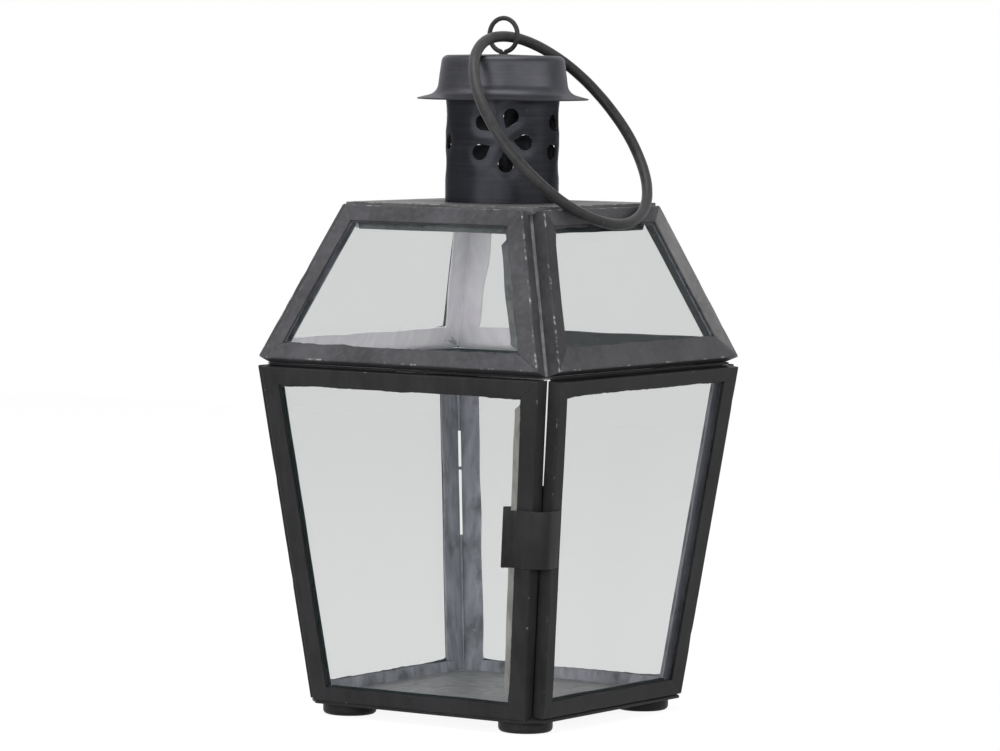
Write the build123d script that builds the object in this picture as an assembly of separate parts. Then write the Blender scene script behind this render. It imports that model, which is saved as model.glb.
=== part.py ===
"""Candle lantern: glazed body with a hinged door, glazed hip roof, chimney, cap and ring handle.

Millimetres, +Z up, origin on the ground under the middle of the body.
Front faces -Y, the door faces +X and hangs on the corner between +X and +Y.
"""
from build123d import *
import math
import os

# Sheet, glass and fits
sheet = 0.6                # folded and spun sheet iron
fold_radius = 0.5          # outside radius of the folded frame strips
glass_thickness = 2.0
glass_edge_play = 0.3      # between a pane and the bottom of its channel
glass_face_play = 0.1      # between a pane and the front flange
touch = 0.02               # between soldered pieces that lie on each other
moving_gap = 0.3           # between pieces that move past each other

# Feet and base
foot_radius = 9.9
foot_height = 4.4
foot_wall = 0.8
foot_edge_radius = 1.6
foot_inset = 12.65         # foot centre from the body's lower edge
base_plate_thickness = 1.0
base_plate_inset = 0.15
base_corner_cut = 6.0

# Glazed body: outer faces of four leaning panels
body_low_half = 51.7
body_high_half = 66.4
body_height = 123.3
body_depth = 4.8           # depth of the folded channel
body_low_corner_gap = 0.35  # slit between two panels at their back edges, at the foot
body_high_corner_gap = 0.9
body_stile_face = 6.8
body_top_face = 6.4
body_bottom_face = 5.4
body_left_back_face = 5.9
body_wide_back_face = 12.0  # inner flange of the front panel's right stile

# Door, in the same outline as a body panel
door_free_face = 5.7
door_hinge_face = 8.5
door_top_face = 5.1
door_bottom_face = 6.0
door_bottom_gap = 0.5
door_top_gap = 0.5

# Hinge in the corner groove
hinge_radius = 1.5
pin_radius = 0.7
pin_play = 0.05
hinge_leaf = 0.5
hinge_low_gap = 3.6        # from the foot of the body to the lower knuckle
hinge_high_gap = 5.2       # from the upper knuckle to the top of the body
frame_knuckle_rise = 33.0

# Clasp round the front corner
clasp_rise = 55.9          # above the foot of the body
clasp_height = 20.8
clasp_front_leg = 12.0
clasp_door_leg = 9.4
clasp_lip = 4.7
clasp_lip_angle = 38.0
clasp_lip_rise = 1.5       # lip above the rest of the clasp
clasp_fold_radius = 1.2
clasp_corner_radius = 3.6
clasp_corner_out = 1.0     # how far the bend stands out from the corner

# Stops that close the slits behind the door
stop_leg = 4.0
stop_clearance = 0.4
stop_edge_gap = 0.2        # from the edge of the front panel
stop_high_z = 90.0
top_stop_half = 58.0
top_stop_height = 4.0

# Flat frame between the body and the roof
eaves_thickness = 0.6
eaves_inset = 3.4          # from the body's upper edge
eaves_width = 4.8
eaves_corner_cut = 4.0

# Glazed roof
roof_high_half = 44.5
roof_height = 56.2
roof_depth = 6.1
roof_hip_gap = 0.1
roof_left_face = 5.4
roof_right_face = 6.7
roof_top_face = 6.2
roof_bottom_face = 5.9
roof_back_face = 4.0
roof_wide_back_face = 12.8  # inner flange of the front panel's right stile
roof_top_back_face = 7.4

# Chimney with its punched flowers
top_plate_thickness = 0.8
top_plate_half = 41.2
top_plate_rise = 0.8       # above the roof's upper edge
chimney_radius = 21.0
chimney_wall = 0.6
chimney_tail = 1.6         # below the top plate
chimney_cap_gap = 0.3      # between the tube and the inside of the cap
chimney_to_brim = 38.9     # from the top plate to the brim of the cap
flower_turn = 26.0         # degrees from the front, towards the door
flower_rise = 22.9         # flower centre above the top plate
petal_count = 5
petal_ring_radius = 9.3
petal_turns = [24.0, 24.0, 52.0, 24.0]  # of each flower, degrees clockwise from straight up
petal_width = 5.8
petal_length = 7.7

# Spun cap
crown_ease = 1.5           # from the chimney to the outside of the crown at its top
crown_flare = 1.8          # from the top of the crown to its foot
brim_width = 7.4
brim_fall = 1.9            # from the foot of the crown to the edge of the brim
crown_height = 15.1        # above the edge of the brim
crown_dome = 0.5
crown_edge_radius = 2.6
crown_foot_radius = 4.5

# Hanger eye, a split pin through the cap
eye_wire = 1.75
eye_mean_radius = 6.2
eye_leg_gap = 0.1
eye_leg_drop = 3.0
eye_leg_spread = 7.0
eye_hole_play = 0.15

# Ring handle
handle_wire = 4.0
handle_room = 20.2         # from the crown to the middle of the wire
handle_drop = 0.5          # from the middle of the eye to the middle of the wire
handle_rest_gap = 0.3

# Solder: how far a seam fills its groove, and where the seams of a body corner start and end
corner_seam_depth = 1.6
corner_seams = [(0.0, 68.0), (93.0, 94.2), (108.0, 124.0)]
hip_seam_depth = 0.8

# Worked out from the sizes above
base_plate_low_z = foot_height
base_plate_high_z = base_plate_low_z + base_plate_thickness
body_low_z = base_plate_high_z + touch
body_high_z = body_low_z + body_height
body_lean = math.atan2(body_high_half - body_low_half, body_height)
hinge_low_z = body_low_z + hinge_low_gap
hinge_split_z = hinge_low_z + frame_knuckle_rise
hinge_high_z = body_high_z - hinge_high_gap
clasp_low_z = body_low_z + clasp_rise
roof_lean = math.atan2(roof_high_half - body_high_half, roof_height)

# The eaves frame lies on the back edges of the body's upper webs, and carries those of the roof's lower webs
eaves_low_z = body_high_z + body_depth * math.sin(body_lean) + touch
eaves_high_z = eaves_low_z + eaves_thickness
roof_low_z = eaves_high_z + touch - roof_depth * math.sin(roof_lean)
roof_high_z = roof_low_z + roof_height

# The top plate's rim stands on the roof's upper webs, which fall inwards
rim_low_z = roof_high_z + (roof_high_half - top_plate_half) * math.tan(roof_lean) + touch
plate_high_z = roof_high_z + top_plate_rise
plate_low_z = plate_high_z - top_plate_thickness
brim_z = plate_high_z + chimney_to_brim
crown_top_z = brim_z + crown_height + crown_dome
eye_z = crown_top_z + eye_wire / 2 + eye_mean_radius
crown_high_radius = chimney_radius + crown_ease
crown_low_radius = crown_high_radius + crown_flare
brim_radius = crown_low_radius + brim_width
handle_mean_radius = crown_high_radius + handle_room

# Distance of a panel's upright edges from the corner where the outer faces would meet
body_low_edge_gap = body_depth * math.cos(body_lean) + body_low_corner_gap / math.sqrt(2)
body_high_edge_gap = body_depth * math.cos(body_lean) + body_high_corner_gap / math.sqrt(2)
roof_edge_gap = roof_depth * math.cos(roof_lean) + roof_hip_gap / math.sqrt(2)

SIDES = {"front": 0, "right": 90, "back": 180, "left": 270}


def cross_lines(point_a, dir_a, point_b, dir_b):
    """Point where two lines of one plane cross."""
    det = dir_a[0] * dir_b[1] - dir_a[1] * dir_b[0]
    dx, dy = point_b[0] - point_a[0], point_b[1] - point_a[1]
    t = (dx * dir_b[1] - dy * dir_b[0]) / det
    return (point_a[0] + t * dir_a[0], point_a[1] + t * dir_a[1])


def shifted_side(start, end, distance):
    """A side moved to its left by a distance, as a point and a direction."""
    dx, dy = end[0] - start[0], end[1] - start[1]
    length = math.hypot(dx, dy)
    return (start[0] - dy / length * distance, start[1] + dx / length * distance), (dx, dy)


def inset(corners, widths):
    """Corners of a convex outline with each side moved inwards by its own width."""
    count = len(corners)
    sides = [shifted_side(corners[i], corners[(i + 1) % count], widths[i]) for i in range(count)]
    return [cross_lines(*sides[i - 1], *sides[i]) for i in range(count)]


def between(start, end, share):
    """Point on the line from one point to another, at a share of its length."""
    return (start[0] + (end[0] - start[0]) * share, start[1] + (end[1] - start[1]) * share)


def moved_path(points, distance):
    """An open path moved to its left by a distance."""
    sides = [shifted_side(a, b, distance) for a, b in zip(points, points[1:])]
    inner = [cross_lines(*a, *b) for a, b in zip(sides, sides[1:])]
    end, direction = sides[-1]
    return [sides[0][0]] + inner + [(end[0] + direction[0], end[1] + direction[1])]


def turns_left(a, b, c):
    """Whether a path bends to its left at its middle point."""
    return (b[0] - a[0]) * (c[1] - b[1]) - (b[1] - a[1]) * (c[0] - b[0]) > 0


def strip_section(points, thickness, radii):
    """Section of a folded strip: an open path, and the same path moved to its left.

    Each fold's radius is the one on its inner side."""
    folds = [turns_left(*points[i:i + 3]) for i in range(len(points) - 2)]
    near_radii = [r + thickness if left else r for r, left in zip(radii, folds)]
    far_radii = [r if left else r + thickness for r, left in zip(radii, folds)]
    far_points = moved_path(points, thickness)
    near = FilletPolyline(*points, radius=near_radii)
    far = FilletPolyline(*far_points, radius=far_radii)
    ends = Line(points[0], far_points[0]) + Line(points[-1], far_points[-1])
    return make_face(near + far + ends)


def square(half, corner_cut=0.0):
    """Corners of a square about the origin, with its corners cut off if asked."""
    if not corner_cut:
        return [(-half, -half), (half, -half), (half, half), (-half, half)]
    end = half - corner_cut
    return [(-half, -end), (-end, -half), (end, -half), (half, -end),
            (half, end), (end, half), (-end, half), (-half, end)]


def prism(plane, corners, low, high):
    """A flat outline on a plane, made solid from one distance off the plane to another."""
    outline = make_face(Polyline(*corners, close=True))
    return extrude(plane.offset(low) * outline, amount=high - low, dir=plane.z_dir)


def leaning_plane(low_half, low_z, lean):
    """Outer face of the front panel: x to the right, y up the slope, z outwards."""
    outward = (0, -math.cos(lean), -math.sin(lean))
    return Plane(origin=(0, -low_half, low_z), x_dir=(1, 0, 0), z_dir=outward)


def turned(solid, side):
    """A piece made in front position, turned to another side."""
    return Rot(0, 0, SIDES[side]) * solid


class Panel:
    """A leaning panel in front position: four folded channel strips round a pane."""

    def __init__(self, low_half, low_z, height, lean, edge_gaps, depth, cut_low=0.0, cut_high=0.0):
        self.plane = leaning_plane(low_half, low_z, lean)
        self.edge_half = low_half - edge_gaps[0]
        self.spread = math.sin(lean) - (edge_gaps[1] - edge_gaps[0]) * math.cos(lean) / height
        self.depth = depth
        self.low = cut_low / math.cos(lean)
        self.high = (height - cut_high) / math.cos(lean)

    def half(self, slope):
        """Half width of the panel at a distance up its slope."""
        return self.edge_half + slope * self.spread

    def outline(self):
        low, high = self.half(self.low), self.half(self.high)
        return [(-low, self.low), (low, self.low), (high, self.high), (-high, self.high)]

    def strips(self, faces, back_faces):
        """Bottom, right, top and left strips, mitred where they meet, with their own flange widths."""
        outer = self.outline()
        inner = inset(outer, faces)
        pocket = prism(self.plane, inset(outer, [sheet] * 4), sheet - self.depth, -sheet)
        pocket += prism(self.plane, inset(outer, faces), -self.depth / 2, self.depth)
        pocket += prism(self.plane, inset(outer, back_faces), -2 * self.depth, -self.depth / 2)
        solids = []
        for i in range(4):
            k = (i + 1) % 4
            stretch = max(1.0, back_faces[i] / faces[i])
            far = [between(outer[j], inner[j], stretch) for j in (k, i)]
            solid = prism(self.plane, [outer[i], outer[k], *far], -self.depth, 0)
            middle = ((outer[i][0] + outer[k][0]) / 2, (outer[i][1] + outer[k][1]) / 2)
            folds = [self.nearest_edge(solid, (*middle, level)) for level in (0, -self.depth)]
            solids.append(fillet(folds, fold_radius) - pocket)
        return solids

    def nearest_edge(self, solid, local_point):
        """Edge of a solid whose middle is nearest to a point in the panel's own coordinates."""
        place = self.plane.from_local_coords(local_point)
        return min(solid.edges(), key=lambda edge: (edge.center() - place).length)

    def pane(self):
        edge = sheet + glass_edge_play
        face = -sheet - glass_face_play
        return prism(self.plane, inset(self.outline(), [edge] * 4), face - glass_thickness, face)

    def edge_point(self, slope, depth):
        """Point on the web of the right-hand strip."""
        return self.plane.from_local_coords((self.half(slope), slope, -depth))


def across_corner(point):
    """Mirror image of a point in the upright plane through the corner of +X and -Y."""
    return Vector(-point.Y, -point.X, point.Z)


def groove_bead(panel, slope, length, depth):
    """A bead of solder in the groove at the right-hand corner of a panel in front position."""
    ends = []
    for place in (slope, slope + length):
        near_web = [panel.edge_point(place, panel.depth - depth), panel.edge_point(place, panel.depth)]
        near_web = [point + panel.plane.x_dir * touch for point in near_web]
        far_web = [across_corner(point) for point in reversed(near_web)]
        ends.append(make_face(Polyline(*near_web, *far_web, close=True)))
    return loft(ends, ruled=True)


def glazed_side(panel, prefix, side, faces, back_faces, names):
    """Name the strips and the pane of a panel, and turn them to their side."""
    for name, strip in zip(names, panel.strips(faces, back_faces)):
        parts[f"{prefix}_{name}"] = turned(strip, side)
    parts[f"{prefix}_glass"] = turned(panel.pane(), side)


FIXED_NAMES = ["bottom_rail", "right_stile", "top_rail", "left_stile"]
DOOR_NAMES = ["bottom_rail", "hinge_stile", "top_rail", "free_stile"]
parts = {}

# Base plate on four pressed cup feet
base_half = body_low_half - base_plate_inset
parts["base_plate"] = prism(
    Plane.XY, square(base_half, base_corner_cut), base_plate_low_z, base_plate_high_z)

foot_profile = strip_section(
    [(0, 0), (foot_radius, 0), (foot_radius, foot_height)], foot_wall, [foot_edge_radius - foot_wall])
foot = revolve(Plane.XZ * foot_profile, axis=Axis.Z)
foot_centre = body_low_half - foot_inset
for across, x in (("left", -foot_centre), ("right", foot_centre)):
    for end, y in (("front", -foot_centre), ("back", foot_centre)):
        parts[f"foot_{end}_{across}"] = Pos(x, y, 0) * foot

# Three fixed panels of the body, and the door in the outline of the fourth
body_edge_gaps = (body_low_edge_gap, body_high_edge_gap)
body_panel = Panel(body_low_half, body_low_z, body_height, body_lean, body_edge_gaps, body_depth)
body_faces = [body_bottom_face, body_stile_face, body_top_face, body_stile_face]
for side in ("front", "back", "left"):
    right_back = body_wide_back_face if side == "front" else body_stile_face
    back_faces = [body_bottom_face, right_back, body_top_face, body_left_back_face]
    glazed_side(body_panel, side, side, body_faces, back_faces, FIXED_NAMES)

door_panel = Panel(body_low_half, body_low_z, body_height, body_lean, body_edge_gaps, body_depth,
                   cut_low=door_bottom_gap, cut_high=door_top_gap)
door_faces = [door_bottom_face, door_hinge_face, door_top_face, door_free_face]
glazed_side(door_panel, "door", "right", door_faces, door_faces, DOOR_NAMES)

# Flat frame under the eaves
eaves_half = body_high_half - eaves_inset
eaves_outer = prism(Plane.XY, square(eaves_half, eaves_corner_cut), eaves_low_z, eaves_high_z)
eaves_hole = prism(Plane.XY, square(eaves_half - eaves_width), eaves_low_z, eaves_high_z)
parts["eaves_frame"] = eaves_outer - eaves_hole

# Four panels of the roof
roof_panel = Panel(body_high_half, roof_low_z, roof_height, roof_lean, (roof_edge_gap,) * 2, roof_depth)
roof_faces = [roof_bottom_face, roof_right_face, roof_top_face, roof_left_face]
for side in SIDES:
    right_back = roof_wide_back_face if side == "front" else roof_back_face
    back_faces = [roof_bottom_face, right_back, roof_top_back_face, roof_back_face]
    glazed_side(roof_panel, f"roof_{side}", side, roof_faces, back_faces, FIXED_NAMES)

# Hinge: two rolled knuckles on one wire pin, in the groove at the door's right-hand corner
edge_dir = (body_panel.edge_point(1, 0) - body_panel.edge_point(0, 0)).normalized()
web_dir = body_panel.plane.z_dir.cross(edge_dir) * -1
hinge_web_gap = hinge_radius + moving_gap


def hinge_point(z):
    """Point of the hinge axis at a height, for a door in front position."""
    web = body_panel.edge_point(0, 0)
    x = (hinge_web_gap + web.dot(web_dir) - z * web_dir.Z) / (web_dir.X - web_dir.Y)
    return Vector(x, -x, z)


hinge_dir = (hinge_point(hinge_high_z) - hinge_point(hinge_low_z)).normalized()


def hinge_run(low_z, high_z, towards):
    """Plane across the hinge axis at its lower end, and the length up to a height."""
    low, high = hinge_point(low_z), hinge_point(high_z)
    return Plane(origin=low, x_dir=towards, z_dir=hinge_dir), (high - low).length


leaf_reach = (body_panel.edge_point(0, 0) - hinge_point(body_low_z)).dot(body_panel.plane.z_dir) - moving_gap


def knuckle(low_z, high_z, web_normal, outward):
    """A rolled tube with a leaf that lies on the web of its own strip."""
    plane, length = hinge_run(low_z, high_z, web_normal * -1)
    leaf_near = hinge_web_gap - hinge_leaf
    leaf = make_face(Polyline((leaf_near, 0), (hinge_web_gap, 0), (hinge_web_gap, leaf_reach * outward),
                              (leaf_near, leaf_reach * outward), close=True))
    section = Circle(hinge_radius) + leaf - Circle(pin_radius + pin_play)
    return extrude(plane * section, amount=length, dir=hinge_dir)


frame_web_dir = across_corner(web_dir)
knuckle_gap = moving_gap / 2
parts["hinge_door_knuckle"] = turned(
    knuckle(hinge_split_z + knuckle_gap, hinge_high_z, web_dir, 1), "right")
parts["hinge_frame_knuckle"] = turned(
    knuckle(hinge_low_z, hinge_split_z - knuckle_gap, frame_web_dir, -1), "right")
pin_plane, pin_length = hinge_run(hinge_low_z, hinge_high_z, web_dir)
pin = extrude(pin_plane * Circle(pin_radius), amount=pin_length, dir=hinge_dir)
parts["hinge_pin"] = turned(pin, "right")

# Clasp: a bent strip soldered to the door, which laps round the corner onto the front panel
clasp_half = body_low_half + (clasp_low_z - body_low_z) * math.tan(body_lean)
lip_turn = math.radians(clasp_lip_angle)
lap = -clasp_half - moving_gap
lip_root = clasp_half - clasp_front_leg
clasp_path = [
    (clasp_half, -clasp_half + clasp_door_leg),
    (clasp_half + clasp_corner_out, lap - clasp_corner_out),
    (lip_root, lap),
    (lip_root - clasp_lip * math.cos(lip_turn), lap - clasp_lip * math.sin(lip_turn)),
]
clasp_section = strip_section(clasp_path, sheet, [clasp_corner_radius, clasp_fold_radius])
lip_path = [between(clasp_path[2], clasp_path[3], share) for share in (0.4, 1.0)]
lip_section = make_face(Polyline(*lip_path, *reversed(moved_path(lip_path, sheet)), close=True))
corner_rise = Vector(math.tan(body_lean), -math.tan(body_lean), 1)


def clasp_piece(section, height):
    """Part of the clasp, drawn up along the corner."""
    foot = Plane.XY.offset(clasp_low_z) * section
    return extrude(foot, amount=height * corner_rise.length, dir=corner_rise.normalized())


parts["clasp"] = (clasp_piece(clasp_section, clasp_height)
                  + clasp_piece(lip_section, clasp_height + clasp_lip_rise))

# Stops behind the door: an angle at the front corner and a strip under the eaves
stop_ends = [body_panel.low + moving_gap, (stop_high_z - body_low_z) / math.cos(body_lean)]


def stop_strip(near, far, low, high):
    """A strip beside the right-hand edge of the front panel, between two distances from that edge."""
    corners = [(body_panel.half(stop_ends[end]) - gap, stop_ends[end])
               for end, gap in ((0, far), (0, near), (1, near), (1, far))]
    return prism(body_panel.plane, corners, low, high)


stop_back = -body_depth - touch
parts["corner_stop"] = (stop_strip(stop_edge_gap, stop_edge_gap + stop_leg, stop_back - sheet, stop_back)
                        + stop_strip(stop_edge_gap, stop_edge_gap + sheet, stop_back - stop_leg, stop_back))

top_stop_face = body_depth + stop_clearance
top_stop_rise = eaves_low_z - touch - body_low_z - (top_stop_face + sheet) * math.sin(body_lean)
top_stop_end = top_stop_rise / math.cos(body_lean)
top_stop_start = top_stop_end - top_stop_height
top_stop = prism(body_panel.plane, [(-top_stop_half, top_stop_start), (top_stop_half, top_stop_start),
                                    (top_stop_half, top_stop_end), (-top_stop_half, top_stop_end)],
                 -top_stop_face - sheet, -top_stop_face)
parts["eaves_stop"] = turned(top_stop, "right")

# Top plate, chimney and cap
hole_radius = chimney_radius + touch
chimney_hole = Pos(0, 0, plate_low_z) * extrude(Circle(hole_radius), amount=top_plate_thickness)
plate_block = prism(Plane.XY, square(top_plate_half), rim_low_z, plate_high_z)
plate_pocket = prism(Plane.XY, square(top_plate_half - sheet), rim_low_z, plate_low_z)
parts["top_plate"] = plate_block - plate_pocket - chimney_hole

crown_path = [
    (brim_radius, 0),
    (crown_low_radius, brim_fall),
    (crown_high_radius, crown_height),
    (eye_wire + eye_leg_gap / 2 + eye_hole_play, crown_height + crown_dome),
]
crown_inner_edge = crown_edge_radius - sheet
cap_section = strip_section(crown_path, sheet, [crown_foot_radius, crown_inner_edge])
parts["cap"] = revolve(Plane.XZ * Pos(0, brim_z) * cap_section, axis=Axis.Z)

# The tube's upper edge stops just under the rounded edge inside the crown
edge_offset = crown_edge_radius - crown_ease
edge_rise = math.sqrt(crown_inner_edge ** 2 - edge_offset ** 2)
chimney_high_z = brim_z + crown_height - crown_edge_radius + edge_rise - chimney_cap_gap
chimney_low_z = plate_low_z - chimney_tail
chimney_length = chimney_high_z - chimney_low_z
tube = Circle(chimney_radius) - Circle(chimney_radius - chimney_wall)
chimney = Pos(0, 0, chimney_low_z) * extrude(tube, amount=chimney_length)

petal_round = petal_width / 2
petal_tip = petal_length - petal_round
petal_flank = math.acos(petal_round / petal_tip)
flank_point = (petal_round * math.sin(petal_flank), -petal_round * math.cos(petal_flank))
petal = Circle(petal_round) + make_face(
    Polyline((0, -petal_tip), flank_point, (-flank_point[0], flank_point[1]), close=True))
punch = extrude(petal, amount=2 * chimney_wall, both=True)
for flower, petal_turn in enumerate(petal_turns):
    for leaf_index in range(petal_count):
        turn = math.radians(petal_turn + leaf_index * 360 / petal_count)
        swing = math.degrees(petal_ring_radius * math.sin(turn) / chimney_radius)
        rise = plate_high_z + flower_rise + petal_ring_radius * math.cos(turn)
        wall = Plane(origin=(0, -chimney_radius, rise), x_dir=(1, 0, 0), z_dir=(0, -1, 0))
        hole = wall * Rot(0, 0, -math.degrees(turn)) * punch
        chimney -= Rot(0, 0, flower_turn + flower * 360 / len(petal_turns) + swing) * hole
parts["chimney"] = chimney

# Hanger eye: a loop of wire with two legs through the cap, spread under it
leg_x = (eye_wire + eye_leg_gap) / 2
open_half = math.degrees(math.asin(leg_x / eye_mean_radius))
loop_plane = Plane(origin=(0, 0, eye_z), x_dir=(1, 0, 0), z_dir=(0, -1, 0))
wire_disc = Pos(eye_mean_radius, 0) * Circle(eye_wire / 2)
loop = revolve(Plane.XZ * wire_disc, axis=Axis.Z, revolution_arc=360 - 2 * open_half)
eye = loop_plane * Rot(0, 0, -90 + open_half) * loop
loop_end_z = eye_z - eye_mean_radius * math.cos(math.radians(open_half))
leg_end_z = crown_top_z - eye_leg_drop
for x in (-leg_x, leg_x):
    leg = Pos(x, 0, leg_end_z) * extrude(Circle(eye_wire / 2), amount=loop_end_z - leg_end_z)
    spread_plane = Plane(origin=(x, 0, leg_end_z), z_dir=(math.copysign(1, x), 0, 0))
    spread = extrude(spread_plane * Circle(eye_wire / 2), amount=eye_leg_spread)
    elbows = Pos(x, 0, leg_end_z) * Sphere(eye_wire / 2) + Pos(x, 0, loop_end_z) * Sphere(eye_wire / 2)
    eye += leg + spread + elbows
parts["hanger_eye"] = eye

# Ring handle: turns in the eye, and at rest leans on the roof's upper edge on the door's side
handle_z = eye_z - handle_drop
edge_drop = handle_z - roof_high_z
edge_reach = math.hypot(edge_drop, roof_high_half)
handle_lean = (math.acos((handle_wire / 2 + handle_rest_gap) / edge_reach)
               - math.atan2(roof_high_half, edge_drop))
slope_dir = Vector(math.cos(handle_lean), 0, -math.sin(handle_lean))
handle_plane = Plane(origin=Vector(0, 0, handle_z) + slope_dir * handle_mean_radius,
                     x_dir=(0, 1, 0), z_dir=(math.sin(handle_lean), 0, math.cos(handle_lean)))
parts["ring_handle"] = handle_plane * Torus(handle_mean_radius, handle_wire / 2)

# Solder: seams in each fixed corner of the body, and one up each hip
body_seams = [groove_bead(body_panel, start, end - start, corner_seam_depth) for start, end in corner_seams]
parts["body_solder"] = Compound(
    children=[Rot(0, 0, turn) * seam for turn in (180, 270) for seam in body_seams])
hip_seam = groove_bead(roof_panel, 0, roof_panel.high, hip_seam_depth)
parts["roof_solder"] = Compound(children=[Rot(0, 0, turn) * hip_seam for turn in SIDES.values()])

os.makedirs("parts", exist_ok=True)
for name, solid in parts.items():
    export_step(solid, f"parts/{name}.step")
print(len(parts), "nodes")
print("hinge axis through", turned(Pos(hinge_point(hinge_low_z)), "right").position,
      "along", turned(Pos(hinge_dir), "right").position)
print("handle axis height", handle_z, "lean", math.degrees(handle_lean))
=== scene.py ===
"""Candle lantern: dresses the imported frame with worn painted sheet, glass, solder and wire.

Metres, in the frame's own axes: front faces -Y, the door faces +X, +Z is up.
"""
import functools
import math

import bmesh
import bpy
from bpy.props import FloatProperty, FloatVectorProperty, IntProperty, PointerProperty
from mathutils import Matrix, Quaternion, Vector, noise


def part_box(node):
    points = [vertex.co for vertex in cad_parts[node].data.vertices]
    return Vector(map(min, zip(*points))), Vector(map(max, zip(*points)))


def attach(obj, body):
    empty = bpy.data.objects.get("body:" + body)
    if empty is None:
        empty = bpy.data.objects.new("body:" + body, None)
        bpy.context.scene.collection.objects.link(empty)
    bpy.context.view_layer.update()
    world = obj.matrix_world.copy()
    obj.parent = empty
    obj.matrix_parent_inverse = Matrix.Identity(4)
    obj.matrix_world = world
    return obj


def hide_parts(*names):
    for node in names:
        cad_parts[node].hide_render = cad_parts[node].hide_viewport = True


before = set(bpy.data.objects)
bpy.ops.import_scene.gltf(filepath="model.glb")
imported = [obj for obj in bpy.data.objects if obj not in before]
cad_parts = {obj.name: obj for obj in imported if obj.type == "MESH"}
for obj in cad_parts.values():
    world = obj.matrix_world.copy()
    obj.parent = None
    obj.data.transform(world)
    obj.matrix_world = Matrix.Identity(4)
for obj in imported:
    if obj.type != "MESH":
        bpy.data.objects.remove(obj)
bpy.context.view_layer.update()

bl_info = {
    "name": "Candle lantern",
    "version": (1, 0, 0),
    "blender": (4, 5, 0),
    "location": "View3D > Sidebar > Lantern",
    "description": "Dresses the frame of a glazed candle lantern",
    "category": "Object",
}

MM = 0.001
SIDE_TURNS = {"front": 0.0, "right": 90.0, "back": 180.0, "left": 270.0}
FIXED_STRIPS = ("bottom_rail", "right_stile", "top_rail", "left_stile")
DOOR_STRIPS = ("bottom_rail", "hinge_stile", "top_rail", "free_stile")
BOTTOM, RIGHT, TOP, LEFT = range(4)
SMOOTH_ANGLE = 38.0
# Scale, detail and roughness of each kind of noise in the finishes
NOISES = {
    "paint clouds": (55.0, 5.0, 0.6),
    "brush marks": (420.0, 4.0, 0.6),
    "paint grain": (1500.0, 2.0, 0.5),
    "paint breaks": (260.0, 8.0, 0.72),
    "paint chips": (520.0, 5.0, 0.7),
    "sheet clouds": (48.0, 5.0, 0.6),
    "sheet marks": (260.0, 6.0, 0.65),
    "sheet flecks": (700.0, 4.0, 0.7),
    "glass smears": (38.0, 5.0, 0.6),
}
EVEN = (1.0, 1.0, 1.0)


def length(text, millimetres):
    """A property that holds a length."""
    return FloatProperty(description=text, default=millimetres * MM, unit="LENGTH", precision=5)


def turn(text, degrees):
    """A property that holds an angle."""
    return FloatProperty(description=text, default=math.radians(degrees), subtype="ANGLE")


def number(text, default):
    """A property that holds a count."""
    return IntProperty(description=text, default=default)


def colour(text, default):
    """A property that holds a colour."""
    return FloatVectorProperty(description=text, default=default, size=3, subtype="COLOR", min=0.0, max=1.0)


class LanternSheetSizes(bpy.types.PropertyGroup):
    """Sizes of the folded strips, the panes and the hand-made unevenness."""

    sheet: length("Thickness of the folded sheet", 0.6)
    fold_radius: length("Outer radius of a fold", 0.5)
    pane_edge_gap: length("From a strip's outer edge to the edge of its pane", 0.9)
    pane_face_gap: length("From a panel's outer face to its pane", 0.7)
    body_depth: length("Depth of the body's channel", 4.8)
    body_stile: length("Face of a fixed body stile", 6.8)
    body_top: length("Face of a body top rail", 6.4)
    body_bottom: length("Face of a body bottom rail", 5.4)
    body_left_back: length("Inner flange of a left body stile", 5.9)
    body_far: length("Face of the two stiles at the far corner", 5.2)
    body_far_left: length("Inner flange of the left panel's stile at the far corner", 10.5)
    body_far_back: length("Inner flange of the back panel's stile at the far corner", 8.6)
    body_wide_back: length("Inner flange of the front panel's right stile", 12.0)
    door_hinge: length("Face of the door's hinge stile", 8.5)
    door_free: length("Face of the door's free stile", 5.7)
    door_top: length("Face of the door's top rail", 5.1)
    door_bottom: length("Face of the door's bottom rail", 6.0)
    roof_depth: length("Depth of the roof's channel", 6.1)
    roof_left: length("Face of a left roof stile", 5.4)
    roof_right: length("Face of a right roof stile", 6.7)
    roof_top: length("Face of a roof top rail", 6.2)
    roof_bottom: length("Face of a roof bottom rail", 5.9)
    roof_far: length("Face of the two stiles at the far hip", 3.2)
    roof_far_left: length("Inner flange of the left panel's stile at the far hip", 9.8)
    roof_far_back: length("Inner flange of the back panel's stile at the far hip", 8.4)
    roof_shelf: length("Inner flange of the back and left bottom rails", 9.4)
    door_side_bottom: length("Face of the bottom rail above the door", 8.4)
    door_side_right: length("Face of the right stile above the door", 8.0)
    door_side_back: length("Inner flange of the right stile above the door", 1.4)
    roof_back: length("Inner flange of a roof stile", 4.0)
    roof_wide_back: length("Inner flange of the front panel's right stile", 12.8)
    roof_top_back: length("Inner flange of a roof top rail", 7.4)
    body_seam: length("How far a strip of the body rounds off at its mitres", 0.03)
    roof_seam: length("How far a strip of the roof rounds off at its mitres", 0.14)
    body_ragged: length("How far paint runs onto a pane of the body", 0.6)
    roof_ragged: length("How far paint runs onto a pane of the roof", 0.9)
    splay: length("How far the front corner's back edge is folded out at its top", 1.2)
    wave: length("How far the sheet waves out of its plane", 0.16)
    edge_wave: length("How far a cut edge wanders", 0.22)
    dent: length("Depth of the deepest dents in a fold", 0.4)


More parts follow.
